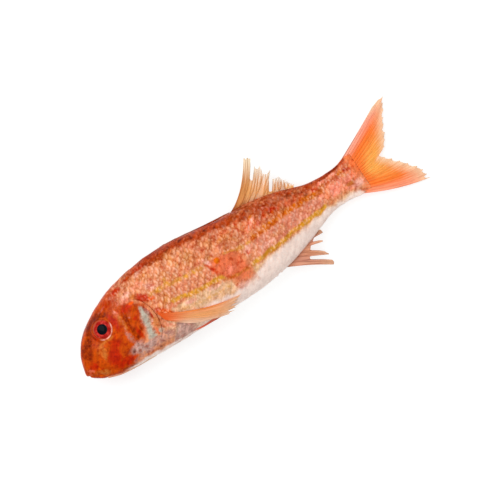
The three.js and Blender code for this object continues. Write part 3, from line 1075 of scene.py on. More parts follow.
@dataclass(frozen=True)
class EyeFinish:
    """The eye: a dark pupil in a red iris, under a wet cornea."""

    pupil: str = "070911"
    iris: str = "A41610"
    iris_glow: str = "D23A30"
    rim: str = "B24A2C"
    pupil_radius: float = 3.0
    iris_radius: float = 4.6

    def material(self, name: str) -> bpy.types.Material:
        """Makes the material, which reads the distance from the eye's axis."""
        material, recipe, surface = start_material(name)
        out = recipe.mask("out")
        noise = recipe.noise(recipe.place(), 500.0, 3.0)
        iris = recipe.blend(recipe.step(noise, 0.4, 0.62), shade(self.iris), shade(self.iris_glow))
        wander = recipe.math("MULTIPLY_ADD", noise, 0.8, -0.4)
        rim = recipe.step(recipe.math("ADD", out, wander), self.iris_radius, self.iris_radius + 0.8)
        colour = recipe.blend(rim, iris, shade(self.rim))
        pupil = recipe.step(out, self.pupil_radius + 0.14, self.pupil_radius - 0.1)
        colour = recipe.blend(pupil, colour, shade(self.pupil))
        recipe.feed(surface.inputs["Base Color"], colour)
        surface.inputs["Roughness"].default_value = 0.3
        surface.inputs["Specular IOR Level"].default_value = 0.02
        surface.inputs["Coat Weight"].default_value = 0.35
        surface.inputs["Coat Roughness"].default_value = 0.03
        surface.inputs["Coat IOR"].default_value = 1.2
        return material


@dataclass(frozen=True)
class FinFinish:
    """The thin skin and the rays of a fin.

    Args:
        root: The colour at the fin's base.
        middle: The colour of its middle.
        first: The colour along its first ray.
        last: The colour along its last ray.
        tip: The colour along its free edge.
        bone: What the rays turn the colour to.
        fork: The colour beside the notch.
        notch: Where the notch is, as a share of the way across.
        spread: How far that colour spreads.
        stem: How far along the fin its base's colour ends.
        begin: How far along it the colours of the first and the last ray start.
        edge: How far across it the last ray's colour starts.
        fade: How far along the fin its edge's colour starts.
        clear: How much light passes the thin skin, from 0 to 1.
        streaks: How strong the streaks along it are.
        count: How many streaks lie side by side.
        border: The colour of the first ray's own outer edge, or nothing.
    """

    root: str
    middle: str
    first: str
    last: str
    tip: str
    bone: str
    fork: str
    notch: float = 0.5
    spread: float = 0.3
    stem: float = 0.32
    begin: float = 0.1
    edge: float = 0.84
    fade: float = 0.6
    clear: float = 0.3
    streaks: float = 0.8
    count: float = 70.0
    border: str = ""

    def material(self, name: str, groups: SharedGroups) -> bpy.types.Material:
        """Makes the material, which reads the places along and across the fin.

        Args:
            name: Its name.
            groups: The shared groups.

        Returns:
            The material.
        """
        material, recipe, surface = start_material(name)
        along, across, ray = recipe.mask("along"), recipe.mask("across"), recipe.mask("ray")
        streak = recipe.use(
            groups.streaks, Across=across, Along=along, Count=self.count, Contrast=self.streaks
        )
        place = recipe.math("ADD", along, recipe.math("MULTIPLY", streak, 0.22))
        colour = recipe.blend(recipe.step(place, 0.0, self.stem), shade(self.root), shade(self.middle))
        outer = recipe.step(place, self.begin, self.begin + 0.3)
        first = recipe.math("MULTIPLY", recipe.step(across, 0.2, 0.04), outer)
        last = recipe.math("MULTIPLY", recipe.step(across, self.edge, 0.98), outer)
        colour = recipe.blend(first, colour, shade(self.first))
        colour = recipe.blend(last, colour, shade(self.last))
        notch = recipe.math("ABSOLUTE", recipe.math("SUBTRACT", across, self.notch))
        fork = recipe.math("MULTIPLY", recipe.step(notch, self.spread, 0.04), recipe.step(place, 0.12, 0.5))
        colour = recipe.blend(fork, colour, shade(self.fork))
        colour = recipe.blend(recipe.step(place, self.fade, 1.02), colour, shade(self.tip))
        colour = recipe.blend(recipe.math("MULTIPLY", ray, 0.5), colour, shade(self.bone), "MULTIPLY")
        if self.border:
            reach = recipe.step(along, 0.6, 0.42, 0.0, 0.75)
            border = recipe.math("MULTIPLY", recipe.step(across, 0.022, 0.004), reach)
            colour = recipe.blend(border, colour, shade(self.border))
        value = recipe.add("ShaderNodeHueSaturation")
        recipe.feed(value.inputs["Value"], recipe.math("MULTIPLY_ADD", streak, 0.45, 1.02))
        recipe.feed(value.inputs["Color"], colour)
        recipe.feed(surface.inputs["Base Color"], value.outputs["Color"])
        thin = recipe.math("SUBTRACT", 1.0, recipe.math("MULTIPLY", ray, 0.85))
        edge = recipe.step(place, 0.55, 1.05, 0.55, 1.5)
        clear = recipe.math("MULTIPLY", recipe.math("MULTIPLY", thin, edge), self.clear)
        clear = recipe.math("MULTIPLY", clear, recipe.mask("sheer"))
        fleshy = recipe.step(along, 0.05, 0.3)
        clear = recipe.math("MULTIPLY", clear, fleshy)
        recipe.feed(surface.inputs["Alpha"], recipe.math("SUBTRACT", 1.0, clear))
        surface.inputs["Roughness"].default_value = 0.42
        surface.inputs["Specular IOR Level"].default_value = 0.06
        surface.inputs["Coat Weight"].default_value = 0.04
        surface.inputs["Coat Roughness"].default_value = 0.2
        surface.inputs["Coat IOR"].default_value = 1.3
        recipe.feed(surface.inputs["Normal"], recipe.bump(recipe.math("ADD", streak, 0.5), 0.0002, 0.4))
        return material


@dataclass(frozen=True)
class BarbelFinish:
    """The smooth pale skin of the barbels."""

    root: str = "D98C66"
    tip: str = "EBCDB2"

    def material(self, name: str, groups: SharedGroups) -> bpy.types.Material:
        """Makes the material, which reads the place along the barbel."""
        material, recipe, surface = start_material(name)
        along = recipe.mask("along")
        speck = recipe.use(groups.broken_edge, Mask=along, Grain=900.0, Raggedness=1.2, Softness=0.5)
        recipe.feed(surface.inputs["Base Color"], recipe.blend(speck, shade(self.root), shade(self.tip)))
        wet = recipe.use(groups.wet)
        recipe.feed(surface.inputs["Roughness"], recipe.step(wet, 0.0, 1.0, 0.5, 0.32))
        recipe.feed(surface.inputs["Coat Weight"], recipe.math("MULTIPLY", wet, 0.3))
        rings = recipe.noise(recipe.place(), 1500.0, 2.0)
        recipe.feed(surface.inputs["Normal"], recipe.bump(rings, 0.0002, 0.3))
        return material


# ---- eyes ----


@dataclass
class Eye:
    """One eye, a flattened ball that looks out of a round opening in the skin.

    Args:
        chart: The fish's chart.
        side: The flank it is on.
    """

    chart: Chart
    side: Side
    spokes: int = 96
    rings: int = 72
    middle: Points = field(init=False)
    axis: Points = field(init=False)
    radius: float = field(init=False)
    depth: float = field(init=False)

    OPENING = 5.35  # radius of the round opening in the skin
    GLANCE = (0.6, -0.5, 0.0)  # how far the pupil is moved off the ball's axis
    HIDDEN = 20.0  # added to the distances on the ball's inner half, so that the pupil isn't there too

    def __post_init__(self) -> None:
        """Reads the ball's place, tilt and size from its CAD solid."""
        at = self.chart.solid_points(bpy.data.objects[f"{self.side.word}_eye"])
        self.middle = (at.min(axis=0) + at.max(axis=0)) / 2.0
        _, spread, ways = np.linalg.svd(at - self.middle, full_matrices=False)
        self.axis = ways[int(np.argmin(spread))]
        self.axis = self.axis * np.sign(self.axis[2]) * self.side.value
        out = (at - self.middle) @ self.axis
        self.depth = float(out.max())
        self.radius = float(np.linalg.norm(at - self.middle, axis=1).max())

    def out(self, at: Points) -> tuple[Points, Points]:
        """How places lie to the eye.

        Args:
            at: The places.

        Returns:
            Their distances from the eye's axis, and along it from the eye's middle.
        """
        away = at - self.middle
        along = away @ self.axis
        return np.linalg.norm(away - along[:, None] * self.axis, axis=1), along

    def build(self, bench: Workbench, finish: bpy.types.Material) -> None:
        """Makes the eyeball."""
        mesh, ring, spoke = ball_blank(f"{self.side.word}_eyeball", self.spokes, self.rings)
        polar = ring / self.rings * math.pi
        turn = spoke / self.spokes * math.tau
        first = np.cross(self.axis, [0.0, 1.0, 0.0])
        first /= np.linalg.norm(first)
        second = np.cross(self.axis, first)
        out = self.radius * np.sin(polar)
        front = polar < math.pi / 2.0
        pupil = rise(out, 2.9, 2.4) * front
        groove = np.exp(-(((out - 3.1) / 0.35) ** 2)) * front
        high = self.depth * np.cos(polar) + 0.12 * pupil - 0.1 * groove
        around = np.cos(turn)[:, None] * first + np.sin(turn)[:, None] * second
        set_points(mesh, self.middle + high[:, None] * self.axis + out[:, None] * around)
        glance = np.array(self.GLANCE)
        glance -= (glance @ self.axis) * self.axis
        seen = np.linalg.norm(out[:, None] * around - glance, axis=1)
        mark(mesh, "out", seen + self.HIDDEN * (polar > math.pi / 2.0))
        bench.finish(mesh, finish, "eye", f"{self.side.word}_eye")


# ---- gill covers ----


@dataclass
class GillCover:
    """One gill cover, a thin plate whose rear edge stands free of the flank.

    Args:
        chart: The fish's chart.
        surface: The smooth skin that it lies on.
        side: The flank it is on.
    """

    chart: Chart
    surface: Surface
    side: Side
    spokes: int = 180
    rings: int = 120
    middle: Place = field(init=False)
    edge: Points = field(init=False)

    PROUD = 0.45  # how far the free edge stands off the skin
    THICK = 0.9  # how thick the plate is in its middle
    RECESS = 1.5  # how deep the skin sinks under the cover
    REAR = 0.15  # the way its free edge faces, as an angle in the side view

    def __post_init__(self) -> None:
        """Reads the outline from the CAD solid, by halving steps towards its edge on each spoke."""
        node = bpy.data.objects[f"{self.side.word}_gill_cover"]
        at = self.chart.solid_points(node)
        low, high = at.min(axis=0), at.max(axis=0)
        self.middle = (float(low[0] + high[0]) / 2.0, float(low[1] + high[1]) / 2.0)
        tree = self.chart.tree([node])
        reach = []
        for turn in np.arange(self.spokes) / self.spokes * math.tau:
            inner, outer = 0.0, 30.0
            while outer - inner > 0.02:
                half = (inner + outer) / 2.0
                x = self.middle[0] + half * math.cos(turn)
                y = self.middle[1] + half * math.sin(turn)
                hit = tree.ray_cast(Vector((x, y, 80.0)), Vector((0.0, 0.0, -1.0)))[0]
                inner, outer = (half, outer) if hit is not None else (inner, half)
            reach.append(inner)
        self.edge = blur(np.array(reach), 3.0, 0, True)

    def share(self, x: Points, y: Points) -> tuple[Points, Points]:
        """How places of the side view lie to the cover.

        Args:
            x: Distances from the snout.
            y: Heights in the side view.

        Returns:
            Their distances from its middle as a share of its outline's, and how far they are
            towards its rear, from -1 to 1.
        """
        dx, dy = x - self.middle[0], y - self.middle[1]
        turn = np.arctan2(dy, dx) % (math.tau)
        turns = np.arange(self.spokes + 1) / self.spokes * math.tau
        edge = np.interp(turn, turns, np.append(self.edge, self.edge[0]))
        return np.hypot(dx, dy) / edge, np.cos(turn - self.REAR)

    def build(self, bench: Workbench, colouring: Colouring, finish: bpy.types.Material) -> None:
        """Makes the plate."""
        mesh, ring, spoke = ball_blank(f"{self.side.word}_operculum", self.spokes, self.rings)
        half = self.rings / 2.0
        share = np.where(ring <= half, ring / half, 2.0 - ring / half) ** 0.8
        outer = np.where(ring <= half, 1.0, -1.0)
        turn = spoke / self.spokes * math.tau
        reach = self.edge[spoke] * share
        x = self.middle[0] + reach * np.cos(turn)
        y = self.middle[1] + reach * np.sin(turn)
        at, normal = self.surface.find(x, y, self.side)
        rear = rise(np.cos(turn - self.REAR), -0.35, 0.55)
        lip = self.PROUD * rear * rise(share, 0.35, 1.0) + 0.1 - 0.45 * (1.0 - rear) * rise(share, 0.6, 1.0)
        rounded = np.sqrt(np.clip(1.0 - rise(share, 0.93, 1.0) ** 2, 0.0, 1.0))
        flat = np.stack([x, y], axis=1)
        grooves = 0.10 * np.sin(turn * 26.0 + 2.0 * ripple(flat, 9.0, 21)) * rise(share, 0.2, 0.6) * rear
        swell = 0.22 * ripple(flat, 8.0, 22)
        top = lip + (grooves + swell) * rise(share, 1.0, 0.85)
        bottom = lip - self.THICK
        middle = (top + bottom) / 2.0
        thick = (top - bottom) / 2.0 * rounded
        places = at + normal * (middle + outer * thick)[:, None]
        places[:, 2] = np.maximum(places[:, 2], CLEAR)
        set_points(mesh, places)
        left = np.full(x.shape, self.side is Side.LEFT)
        for name, mask in colouring.masks(np.stack([x, y, at[:, 2]], axis=1), left).items():
            mark(mesh, name, mask)
        for name, value in (("scaly", 0.0), ("rim", 0.0), ("glint", 0.0), ("tone", 0.5)):
            mark(mesh, name, np.full(x.shape, value))
        bench.finish(mesh, finish, "skin", f"{self.side.word}_gill_cover")


# ---- the skin ----


@dataclass(frozen=True)
class ScaleRows:
    """Rows of overlapping scales. Each scale lies over the front of those behind it.

    Args:
        pitch: The distance between scales of a row behind the head.
        row: The distance between rows there.
        lift: How far a scale's free edge stands up.
    """

    pitch: float = 4.4
    row: float = 2.8
    lift: float = 0.11
    long: float = 0.8  # half a scale's length, in pitches
    wide: float = 1.28  # half its width, in rows

    def relief(self, x: Points, over: Points) -> dict[str, Points]:
        """Works out the scales at places on the skin.

        Args:
            x: Distances from the snout.
            over: Distances over the skin from the middle of the back.

        Returns:
            The height in millimetres, and the masks rim, glint and tone, which is one number
            for each scale. The glint mask places a painted highlight.
        """
        shrink = np.interp(x, (60.0, 120.0, 190.0), (1.0, 1.0, 0.66))
        fine = np.linspace(0.0, 240.0, 2401)
        pace = 1.0 / (self.pitch * np.interp(fine, (60.0, 120.0, 190.0), (1.0, 1.0, 0.8)))
        walked = np.concatenate([[0.0], np.cumsum(pace[1:] * np.diff(fine))])
        flat = np.stack([x, over], axis=1)
        u = np.interp(x, fine, walked) + 0.10 * ripple(flat, 16.0, 31)
        v = over / (self.row * shrink) + 0.5 + 0.14 * ripple(flat, 19.0, 32)
        height = np.zeros(x.shape)
        nearest = np.full(x.shape, np.inf)
        edge, behind, tone = np.zeros(x.shape), np.zeros(x.shape), np.full(x.shape, 0.5)
        for step in (-1, 0, 1, 2):
            row = np.floor(v) + step
            shift = 0.5 * (row % 2)
            for ahead in (0, 1):
                middle = np.floor(u - shift) + ahead + shift
                du, dv = (u - middle) / self.long, (v - row) / self.wide
                out = np.hypot(du, dv)
                slope = 0.25 + 0.75 * np.clip((du + 1.0) / 2.0, 0.0, 1.0)
                crown = slope * rise(out, 1.0, 0.78) * (1.0 - 0.15 * dv * dv)
                height = np.maximum(height, self.lift * crown)
                top = (out < 1.0) & (middle < nearest)
                nearest = np.where(top, middle, nearest)
                edge = np.where(top, out, edge)
                behind = np.where(top, du, behind)
                jumble = np.sin(middle * 12.9898 + row * 78.233) * 43758.5453
                tone = np.where(top, jumble - np.floor(jumble), tone)
        rim = rise(edge, 0.80, 0.97) * rise(behind, -0.1, 0.3)
        # Painted highlight: a pale crescent just inside each scale's free edge.
        glint = rise(edge, 0.42, 0.62) * rise(edge, 0.86, 0.74) * rise(behind, 0.1, 0.5)
        return {"height": height, "rim": rim, "glint": glint, "tone": tone}


# Places of the side view, in the chart
MOUTH = ((-1.0, -11.4), (2.0, -12.3), (6.0, -13.9), (10.2, -15.9))
PREOPERCLE = ((37.6, 9.5), (36.0, 3.0), (35.2, -5.0), (34.0, -11.5), (30.5, -16.2), (25.0, -18.4))
CHEEKBONE = ((13.0, -2.0), (18.0, -3.4), (25.0, -2.2), (30.0, 2.4))
NOSTRILS = ((10.8, 2.2), (12.8, 4.0))
PECTORAL_ROOT = (56.6, -8.2)
VENT_X = 121.5


def fuller(x: Points) -> Points:
    """How far the lower edge of the soft flesh stands out beyond the plain shape, in millimetres."""
    return np.interp(x, (2, 9, 17, 32, 55, 90, 112, 122, 134, 158, 177, 186, 192),
                     (0.0, 0.7, 1.2, 1.2, 1.4, 1.4, 1.5, 0.8, 0.7, 1.1, 1.5, 1.0, 0.2))


@dataclass
class Skin:
    """The skin of the whole body in one piece, with its scales, mouth, nostrils and openings.

    Args:
        hull: Its smooth shape.
        colouring: Where it has each pigment.
        eyes: The eyes that look out of it.
        covers: The gill covers that lie on it.
    """

    hull: Hull
    colouring: Colouring
    eyes: list[Eye]
    covers: list[GillCover]
    scales: ScaleRows = ScaleRows()

    def build(self, bench: Workbench, finish: bpy.types.Material) -> None:
        """Makes the skin."""
        hull = self.hull
        mesh, ring, spoke = ball_blank("skin", hull.spokes, hull.stations + 1)
        pole = (ring == 0) | (ring == hull.stations + 1)
        station = np.clip(ring - 1, 0, hull.stations - 1)
        ends = hull.at.mean(axis=1)
        at = np.where(pole[:, None], ends[station], hull.at[station, spoke])
        normal = hull.normals(hull.at)[station, spoke]
        over = hull.from_back()[station, spoke]
        facing = np.cos(hull.angle)[spoke]
        left = facing > 0.0
        masks = self.colouring.masks(at, left)
        scaly = self.scaly(at, left)
        scales = self.scales.relief(at[:, 0], over)
        scales["height"] *= scaly
        lift = scales["height"] + self.relief(at, over, facing)
        lift[pole] = 0.0
        moved = at + normal * lift[:, None]
        x = at[:, 0]
        moved[:, 1] -= fuller(x) * rise(-normal[:, 1], 0.1, 0.85)
        moved[:, 1] -= 0.65 * rise(normal[:, 1], 0.1, 0.85) * rise(x, 150.0, 162.0) * rise(x, 187.0, 178.0)
        middle = hull.at[:, :, 2].mean(axis=1)[station]
        moved[:, 2] = middle + (moved[:, 2] - middle) * (1.0 - 0.96 * rise(x, 176.0, 191.2))
        moved[:, 2] = np.maximum(moved[:, 2], 0.0)
        set_points(mesh, moved)
        self.rim_eyes(at, masks)
        for name, mask in masks.items():
            mark(mesh, name, mask)
        mark(mesh, "scaly", scaly)
        for name in ("rim", "glint", "tone"):
            mark(mesh, name, scales[name])
        bench.finish(mesh, finish, "skin", "body")

    def scaly(self, at: Points, left: Points) -> Points:
        """How strong the scales are, from 0 to 1."""
        x, y = at[:, 0], at[:, 1]
        upper = np.interp(x, self.hull.x, self.colouring.upper)
        lower = np.interp(x, self.hull.x, self.colouring.lower)
        flank = rise(x, 46.0, 58.0)
        nape = 0.7 * rise(x, 30.0, 40.0) * rise(y, 9.0, 14.0)
        tail = rise(x, 191.0, 184.0)
        belly = 1.0 - 0.6 * rise(y, lower + 9.0, lower + 3.0)
        ridge = 1.0 - 0.4 * rise(y, upper - 2.0, upper - 0.3)
        bare = 1.0 - 0.93 * self.colouring.bare(at, left)
        return np.maximum(flank, nape) * tail * belly * ridge * bare

    def relief(self, at: Points, over: Points, facing: Points) -> Points:
        """How far features other than scales stand out of the smooth shape."""
        x, y = at[:, 0], at[:, 1]
        left = facing > 0.0
        lift = 0.16 * ripple(at, 15.0, 41) + 0.06 * ripple(at, 5.0, 42)
        lift -= 0.12 * self.colouring.bare(at, left)
        lift += self.head(x, y)
        lift += self.fin_roots(x, y, over)
        lift += self.openings(x, y, facing)
        for eye in self.eyes:
            lift += self.orbit(eye, at)
        return lift

    def head(self, x: Points, y: Points) -> Points:
        """The mouth, lips, nostrils and bones of the head."""
        mouth = distance_to_line(x, y, MOUTH)
        lift = -0.36 * rise(mouth, 0.6, 0.1) + 0.16 * np.exp(-(((mouth - 1.5) / 0.8) ** 2))
        for px, py in NOSTRILS:
            near = np.hypot(x - px, y - py)
            lift += 0.16 * np.exp(-(((near - 0.85) / 0.35) ** 2)) - 0.55 * rise(near, 0.62, 0.2)
        lift += 0.45 * np.exp(-((distance_to_line(x, y, PREOPERCLE) / 1.1) ** 2))
        lift += 0.22 * np.exp(-((distance_to_line(x, y, CHEEKBONE) / 1.6) ** 2))
        return lift

    def fin_roots(self, x: Points, y: Points, over: Points) -> Points:
        """The flesh round the roots of the fins."""
        px, py = PECTORAL_ROOT
        root = np.hypot((x - px) / 4.2, (y - py) / 3.0)
        lift = 0.95 * rise(root, 1.25, 0.2)
        lift += 0.5 * rise(over, 2.6, 0.6) * rise(x, 117.0, 121.0) * rise(x, 160.0, 154.0)
        lift -= 0.55 * rise(over, 1.1, 0.3) * rise(x, 50.0, 54.0) * rise(x, 120.0, 114.0)
        tail = rise(x, 183.0, 191.0)
        lift += 0.14 * tail * np.sin((y + 0.4 * x) * 4.2)
        return lift

    def openings(self, x: Points, y: Points, facing: Points) -> Points:
        """The room under the gill covers, the throat's furrow and the vent."""
        lift = np.zeros(x.shape)
        for cover in self.covers:
            share, rear = cover.share(x, y)
            here = (facing * cover.side.value > 0.0) & (share < 1.3)
            back = rise(rear, -0.35, 0.55)
            sunk = rise(share, 0.93 + 0.10 * back, 0.80 + 0.14 * back)
            lift = np.where(here, lift - cover.RECESS * sunk, lift)
        lower = np.interp(x, self.hull.x, self.colouring.lower)
        over_keel = y - lower
        furrow = rise(over_keel, 1.2, 0.1) * rise(x, 7.0, 10.0) * rise(x, 44.0, 38.0)
        lift -= 0.35 * furrow
        vent = np.hypot((x - VENT_X) / 1.6, over_keel / 0.8)
        lift += 0.3 * np.exp(-(((vent - 1.0) / 0.4) ** 2)) - 0.7 * rise(vent, 0.8, 0.2)
        return lift

    @staticmethod
    def orbit(eye: Eye, at: Points) -> Points:
        """The round opening that an eye looks out of, with its raised rim."""
        out, along = eye.out(at)
        near = (along > -eye.depth * 2.0) & (out < 12.0)
        rim = 0.4 * np.exp(-(((out - eye.OPENING - 0.75) / 0.7) ** 2))
        hole = -2.6 * rise(out, eye.OPENING + 0.2, eye.OPENING - 0.55)
        return np.where(near, rim + hole, 0.0)

    def rim_eyes(self, at: Points, masks: dict[str, Points]) -> None:
        """Adds the dark arcs round the eyes and the pale arcs, a painted highlight on their rims, to the
        masks.
        """
        for eye in self.eyes:
            out, along = eye.out(at)
            near = (along > -eye.depth * 2.0) & (out < 12.0)
            away = at - eye.middle
            lean = (away[:, 0] * 0.5 - away[:, 1] * 0.87) / np.maximum(out, 0.1)
            ring = np.exp(-(((out - eye.OPENING - 0.6) / 0.4) ** 2))
            # Painted highlight: a pale arc on the lower rear side of the eye's rim.
            pale = ring * rise(lean, 0.05, 0.5) * near
            dark = np.exp(-(((out - eye.OPENING - 1.6) / 1.2) ** 2)) * rise(lean, 0.2, -0.5) * near
            masks["rose"] = np.maximum(masks["rose"], 0.9 * pale)
            masks["umber"] = np.maximum(masks["umber"] * (1.0 - pale), 0.7 * dark)
            for name in ("scarlet", "amber"):
                masks[name] = masks[name] * (1.0 - pale)


# ---- barbels ----


@dataclass
class Barbel:
    """One of the two feelers of the chin, which lies back in the throat's furrow.

    Args:
        chart: The fish's chart.
        tree: The smooth skin.
        side: The side it is on.
    """

    chart: Chart
    tree: BVHTree
    side: Side
    spokes: int = 20
    rings: int = 120
    thick: float = 0.72  # its root's radius
    tip: float = 0.3  # the tip's radius, as a share of the root's

    def path(self) -> Points:
        """The line it follows, from the chin to its tip."""
        at = self.chart.solid_points(bpy.data.objects[f"{self.side.word}_barbel"])
        low, high = at.min(axis=0), at.max(axis=0)
        x = np.linspace(low[0], high[0], self.rings + 1)
        knots = np.linspace(low[0], high[0], 6)
        level = [at[np.abs(at[:, 0] - k) < 3.5, 2].mean() for k in knots]
        z = np.interp(x, knots, level) + 0.25 * np.sin((x - low[0]) / 5.5 + self.side.value)
        z = blur(z, 6.0, 0, False)
        y = []
        for px, pz in zip(x, z):
            hit = self.tree.ray_cast(Vector((px, -60.0, pz)), Vector((0.0, 1.0, 0.0)))[0]
            y.append(hit.y if hit is not None else low[1])
        return np.stack([x, blur(np.array(y), 6.0, 0, False) + 0.12 - fuller(x), z], axis=1)

    def build(self, bench: Workbench, finish: bpy.types.Material) -> None:
        """Makes the barbel."""
        mesh, ring, spoke = ball_blank(f"{self.side.word}_feeler", self.spokes, self.rings)
        path = self.path()
        along = ring / self.rings
        thick = self.thick * (1.0 - (1.0 - self.tip) * along ** 1.3)
        thick *= np.sqrt(np.clip(1.0 - (1.0 - np.clip(along / 0.02, 0.0, 1.0)) ** 2, 0.0, 1.0))
        thick *= np.sqrt(np.clip(1.0 - np.clip((along - 0.985) / 0.015, 0.0, 1.0) ** 2, 0.0, 1.0))
        thick *= 1.0 + 0.04 * np.sin(along * 160.0)
        turn = spoke / self.spokes * math.tau
        out = np.stack([np.zeros(len(turn)), np.cos(turn), np.sin(turn)], axis=1)
        set_points(mesh, path[ring] + thick[:, None] * out)
        mark(mesh, "along", along)
        bench.finish(mesh, finish, "barbel", f"{self.side.word}_barbel")


# ---- fins ----


@dataclass(frozen=True)
class FinPlan:
    """The plan of one fin, in the side view.

    Args:
        piece: The piece's name.
        node: The CAD node that it stands for.
        slot: The slot of its finish.
        roots: Where the first and the last ray start, inside the flesh.
        tips: Where each ray ends.
        bulge: How far the line of the roots bows off the straight line.
        bows: How far the first and the last ray bow towards the back.
        webs: For each gap between two rays, how far along them the thin skin reaches.
        ray: Half a ray's thickness at its root.
        branched: Whether the rays branch towards their tips.
        sway: How far the free edge waves up and down.
        fray: How ragged the free edge is.
        sheer: For each gap, how clear its thin skin is, from 0 to 1.
        proud: How far over the CAD solid's own sheet it lies.
    """

    piece: str
    node: str
    slot: str
    roots: tuple[Place, Place]
    tips: tuple[Place, ...]
    bulge: Place = (0.0, 0.0)
    bows: Place = (0.0, 0.0)
    webs: tuple[float, ...] = ()
    ray: float = 0.34
    branched: bool = True
    sway: float = 0.5
    fray: float = 1.0
    sheer: tuple[float, ...] = ()
    proud: float = 0.0


@dataclass
class Fin:
    """One fin: thin skin that spans bony rays.

    Args:
        chart: The fish's chart.
        plan: Its plan.
    """

    chart: Chart
    plan: FinPlan
    columns: int = 14  # between two rays
    rows: int = 70

    SKIN = 0.05  # half the thin skin's thickness
    TORN = 0.85  # a gap whose skin reaches less far than this is torn open
    RAY_TIP = 0.35  # a ray's thickness at its tip, as a share of its root's

    def level(self) -> Points:
        """The terms of the smooth sheet that lies nearest to the CAD solid."""
        at = self.chart.solid_points(bpy.data.objects[self.plan.node])
        return np.linalg.lstsq(self.terms(at), at[:, 2], rcond=None)[0]

    @staticmethod
    def terms(at: Points) -> Points:
        """The powers of x and y that the smooth sheet is made of."""
        x, y = at[:, 0] / 100.0, at[:, 1] / 100.0
        return np.stack([np.ones(len(x)), x, y, x * x, x * y, y * y], axis=1)

    def side_view(self, across: Points, along: Points) -> Points:
        """Places of the fin in the side view.

        Args:
            across: Ray numbers, with shares of the gap to the next ray.
            along: Shares of the way from the root to the tip.

        Returns:
            The places.
        """
        plan = self.plan
        last = len(plan.tips) - 1
        share = (across / last)[:, None]
        roots = bend(np.array(plan.roots[0]), np.array(plan.roots[1]), np.array(plan.bulge), share)
        numbers = np.arange(last + 1)
        tips = np.stack([np.interp(across, numbers, [t[k] for t in plan.tips]) for k in (0, 1)], axis=1)
        bow = np.array([0.0, 1.0]) * (plan.bows[0] * (1.0 - share) + plan.bows[1] * share)
        return bend(roots, tips, bow, along[:, None])

    def reach(self, across: Points) -> Points:
        """How far along the rays the fin reaches between them."""
        plan = self.plan
        webs = np.array(plan.webs or (0.95,) * (len(plan.tips) - 1))
        gap = np.clip(np.floor(across).astype(int), 0, len(webs) - 1)
        share = across - gap
        whole = 1.0 - np.abs(2.0 * share - 1.0) ** 2.6
        torn = rise(np.minimum(share, 1.0 - share), 0.08, 0.24)
        between = np.where(webs[gap] < self.TORN, torn, whole)
        flat = np.stack([across * 3.0, across * 0.0], axis=1)
        fray = 0.018 * ripple(flat, 1.3, len(plan.piece)) + 0.012 * ripple(flat, 0.5, 7)
        return 1.0 - (1.0 - webs[gap]) * between - plan.fray * np.abs(fray) * (0.2 + 0.8 * whole)

    def ridge(self, across: Points, along: Points, spacing: Points) -> Points:
        """Where the rays and their branches lie, from 0 to 1."""
        first = 0.25 * rise(along, 0.36, 0.62) if self.plan.branched else 0.0 * along
        second = 0.125 * rise(along, 0.62, 0.86) if self.plan.branched else 0.0 * along
        share = across - np.floor(across)
        middles = (first - second, first + second, 1.0 - first - second, 1.0 - first + second)
        away = np.min([np.abs(share - m) for m in middles], axis=0) * spacing
        wide = self.plan.ray * (1.0 - 0.5 * along) * 1.15
        return np.exp(-((away / np.maximum(wide, 0.05)) ** 2))

    def build(self, bench: Workbench, finish: bpy.types.Material) -> None:
        """Makes the fin."""
        plan = self.plan
        gaps = len(plan.tips) - 1
        wide = gaps * self.columns
        mesh, column, row, skin = leaf_blank(plan.piece, wide, self.rows)
        across = column / self.columns
        along = row / self.rows * self.reach(across)
        flat = self.side_view(across, along)
        step = 0.02
        ahead = self.side_view(np.minimum(across + step, gaps), along)
        before = self.side_view(np.maximum(across - step, 0.0), along)
        width = np.minimum(across + step, gaps) - np.maximum(across - step, 0.0)
        spacing = np.linalg.norm(ahead - before, axis=1) / width
        ridge = self.ridge(across, along, spacing)
        bone = plan.ray * (1.0 - (1.0 - self.RAY_TIP) * along)
        half = self.SKIN + (bone - self.SKIN) * ridge
        end = rise(row / self.rows, 1.0, 0.985)
        level = self.terms(flat) @ self.level()
        wave = plan.sway * ripple(flat, 14.0, 51) * along ** 1.5 + 0.12 * ripple(flat, 4.0, 52) * along
        z = level + plan.proud + wave + skin * half * (0.25 + 0.75 * end)
        set_points(mesh, np.column_stack([flat, np.maximum(z, 0.03)]))
        mark(mesh, "along", along)
        mark(mesh, "across", across / gaps)
        mark(mesh, "ray", ridge)
        sheer = np.array(plan.sheer or (1.0,) * gaps)
        mark(mesh, "sheer", np.interp(across, np.arange(gaps) + 0.5, sheer))
        bench.finish(mesh, finish, plan.slot, plan.node)


TAIL_FIN = FinPlan(
    "tail_fin", "caudal_fin", "orange_fin", roots=((183.0, 9.0), (183.6, -11.2)), bulge=(5.5, 0.0),
    bows=(-0.3, -1.9),
    tips=(
        (217.2, 25.2), (222.4, 26.7), (225.8, 26.9), (223.6, 23.8), (221.8, 20.6), (219.2, 17.0),
        (217.4, 13.8), (215.2, 9.4), (213.0, 6.0), (210.6, 3.0), (208.0, 1.6), (205.2, 0.8),
        (207.2, -2.0), (210.4, -5.0), (213.2, -8.4), (216.4, -12.4), (219.6, -16.4), (221.4, -20.0),
        (222.0, -23.4), (223.2, -26.2),
    ),
    webs=(
        1.0, 0.99, 0.97, 0.98, 0.96, 0.97, 0.95, 0.97, 0.96, 0.98, 0.93, 0.97, 0.96, 0.94, 0.97, 0.96,
        0.98, 0.97, 0.93,
    ),
    ray=0.36, sway=0.35, fray=0.7,
    sheer=(
        0.5, 0.7, 1.0, 1.0, 1.0, 1.0, 1.0, 1.0, 1.0, 1.0, 1.0, 1.0, 1.0, 1.0, 1.0, 1.0, 0.8, 0.6, 0.4,
    ),
)
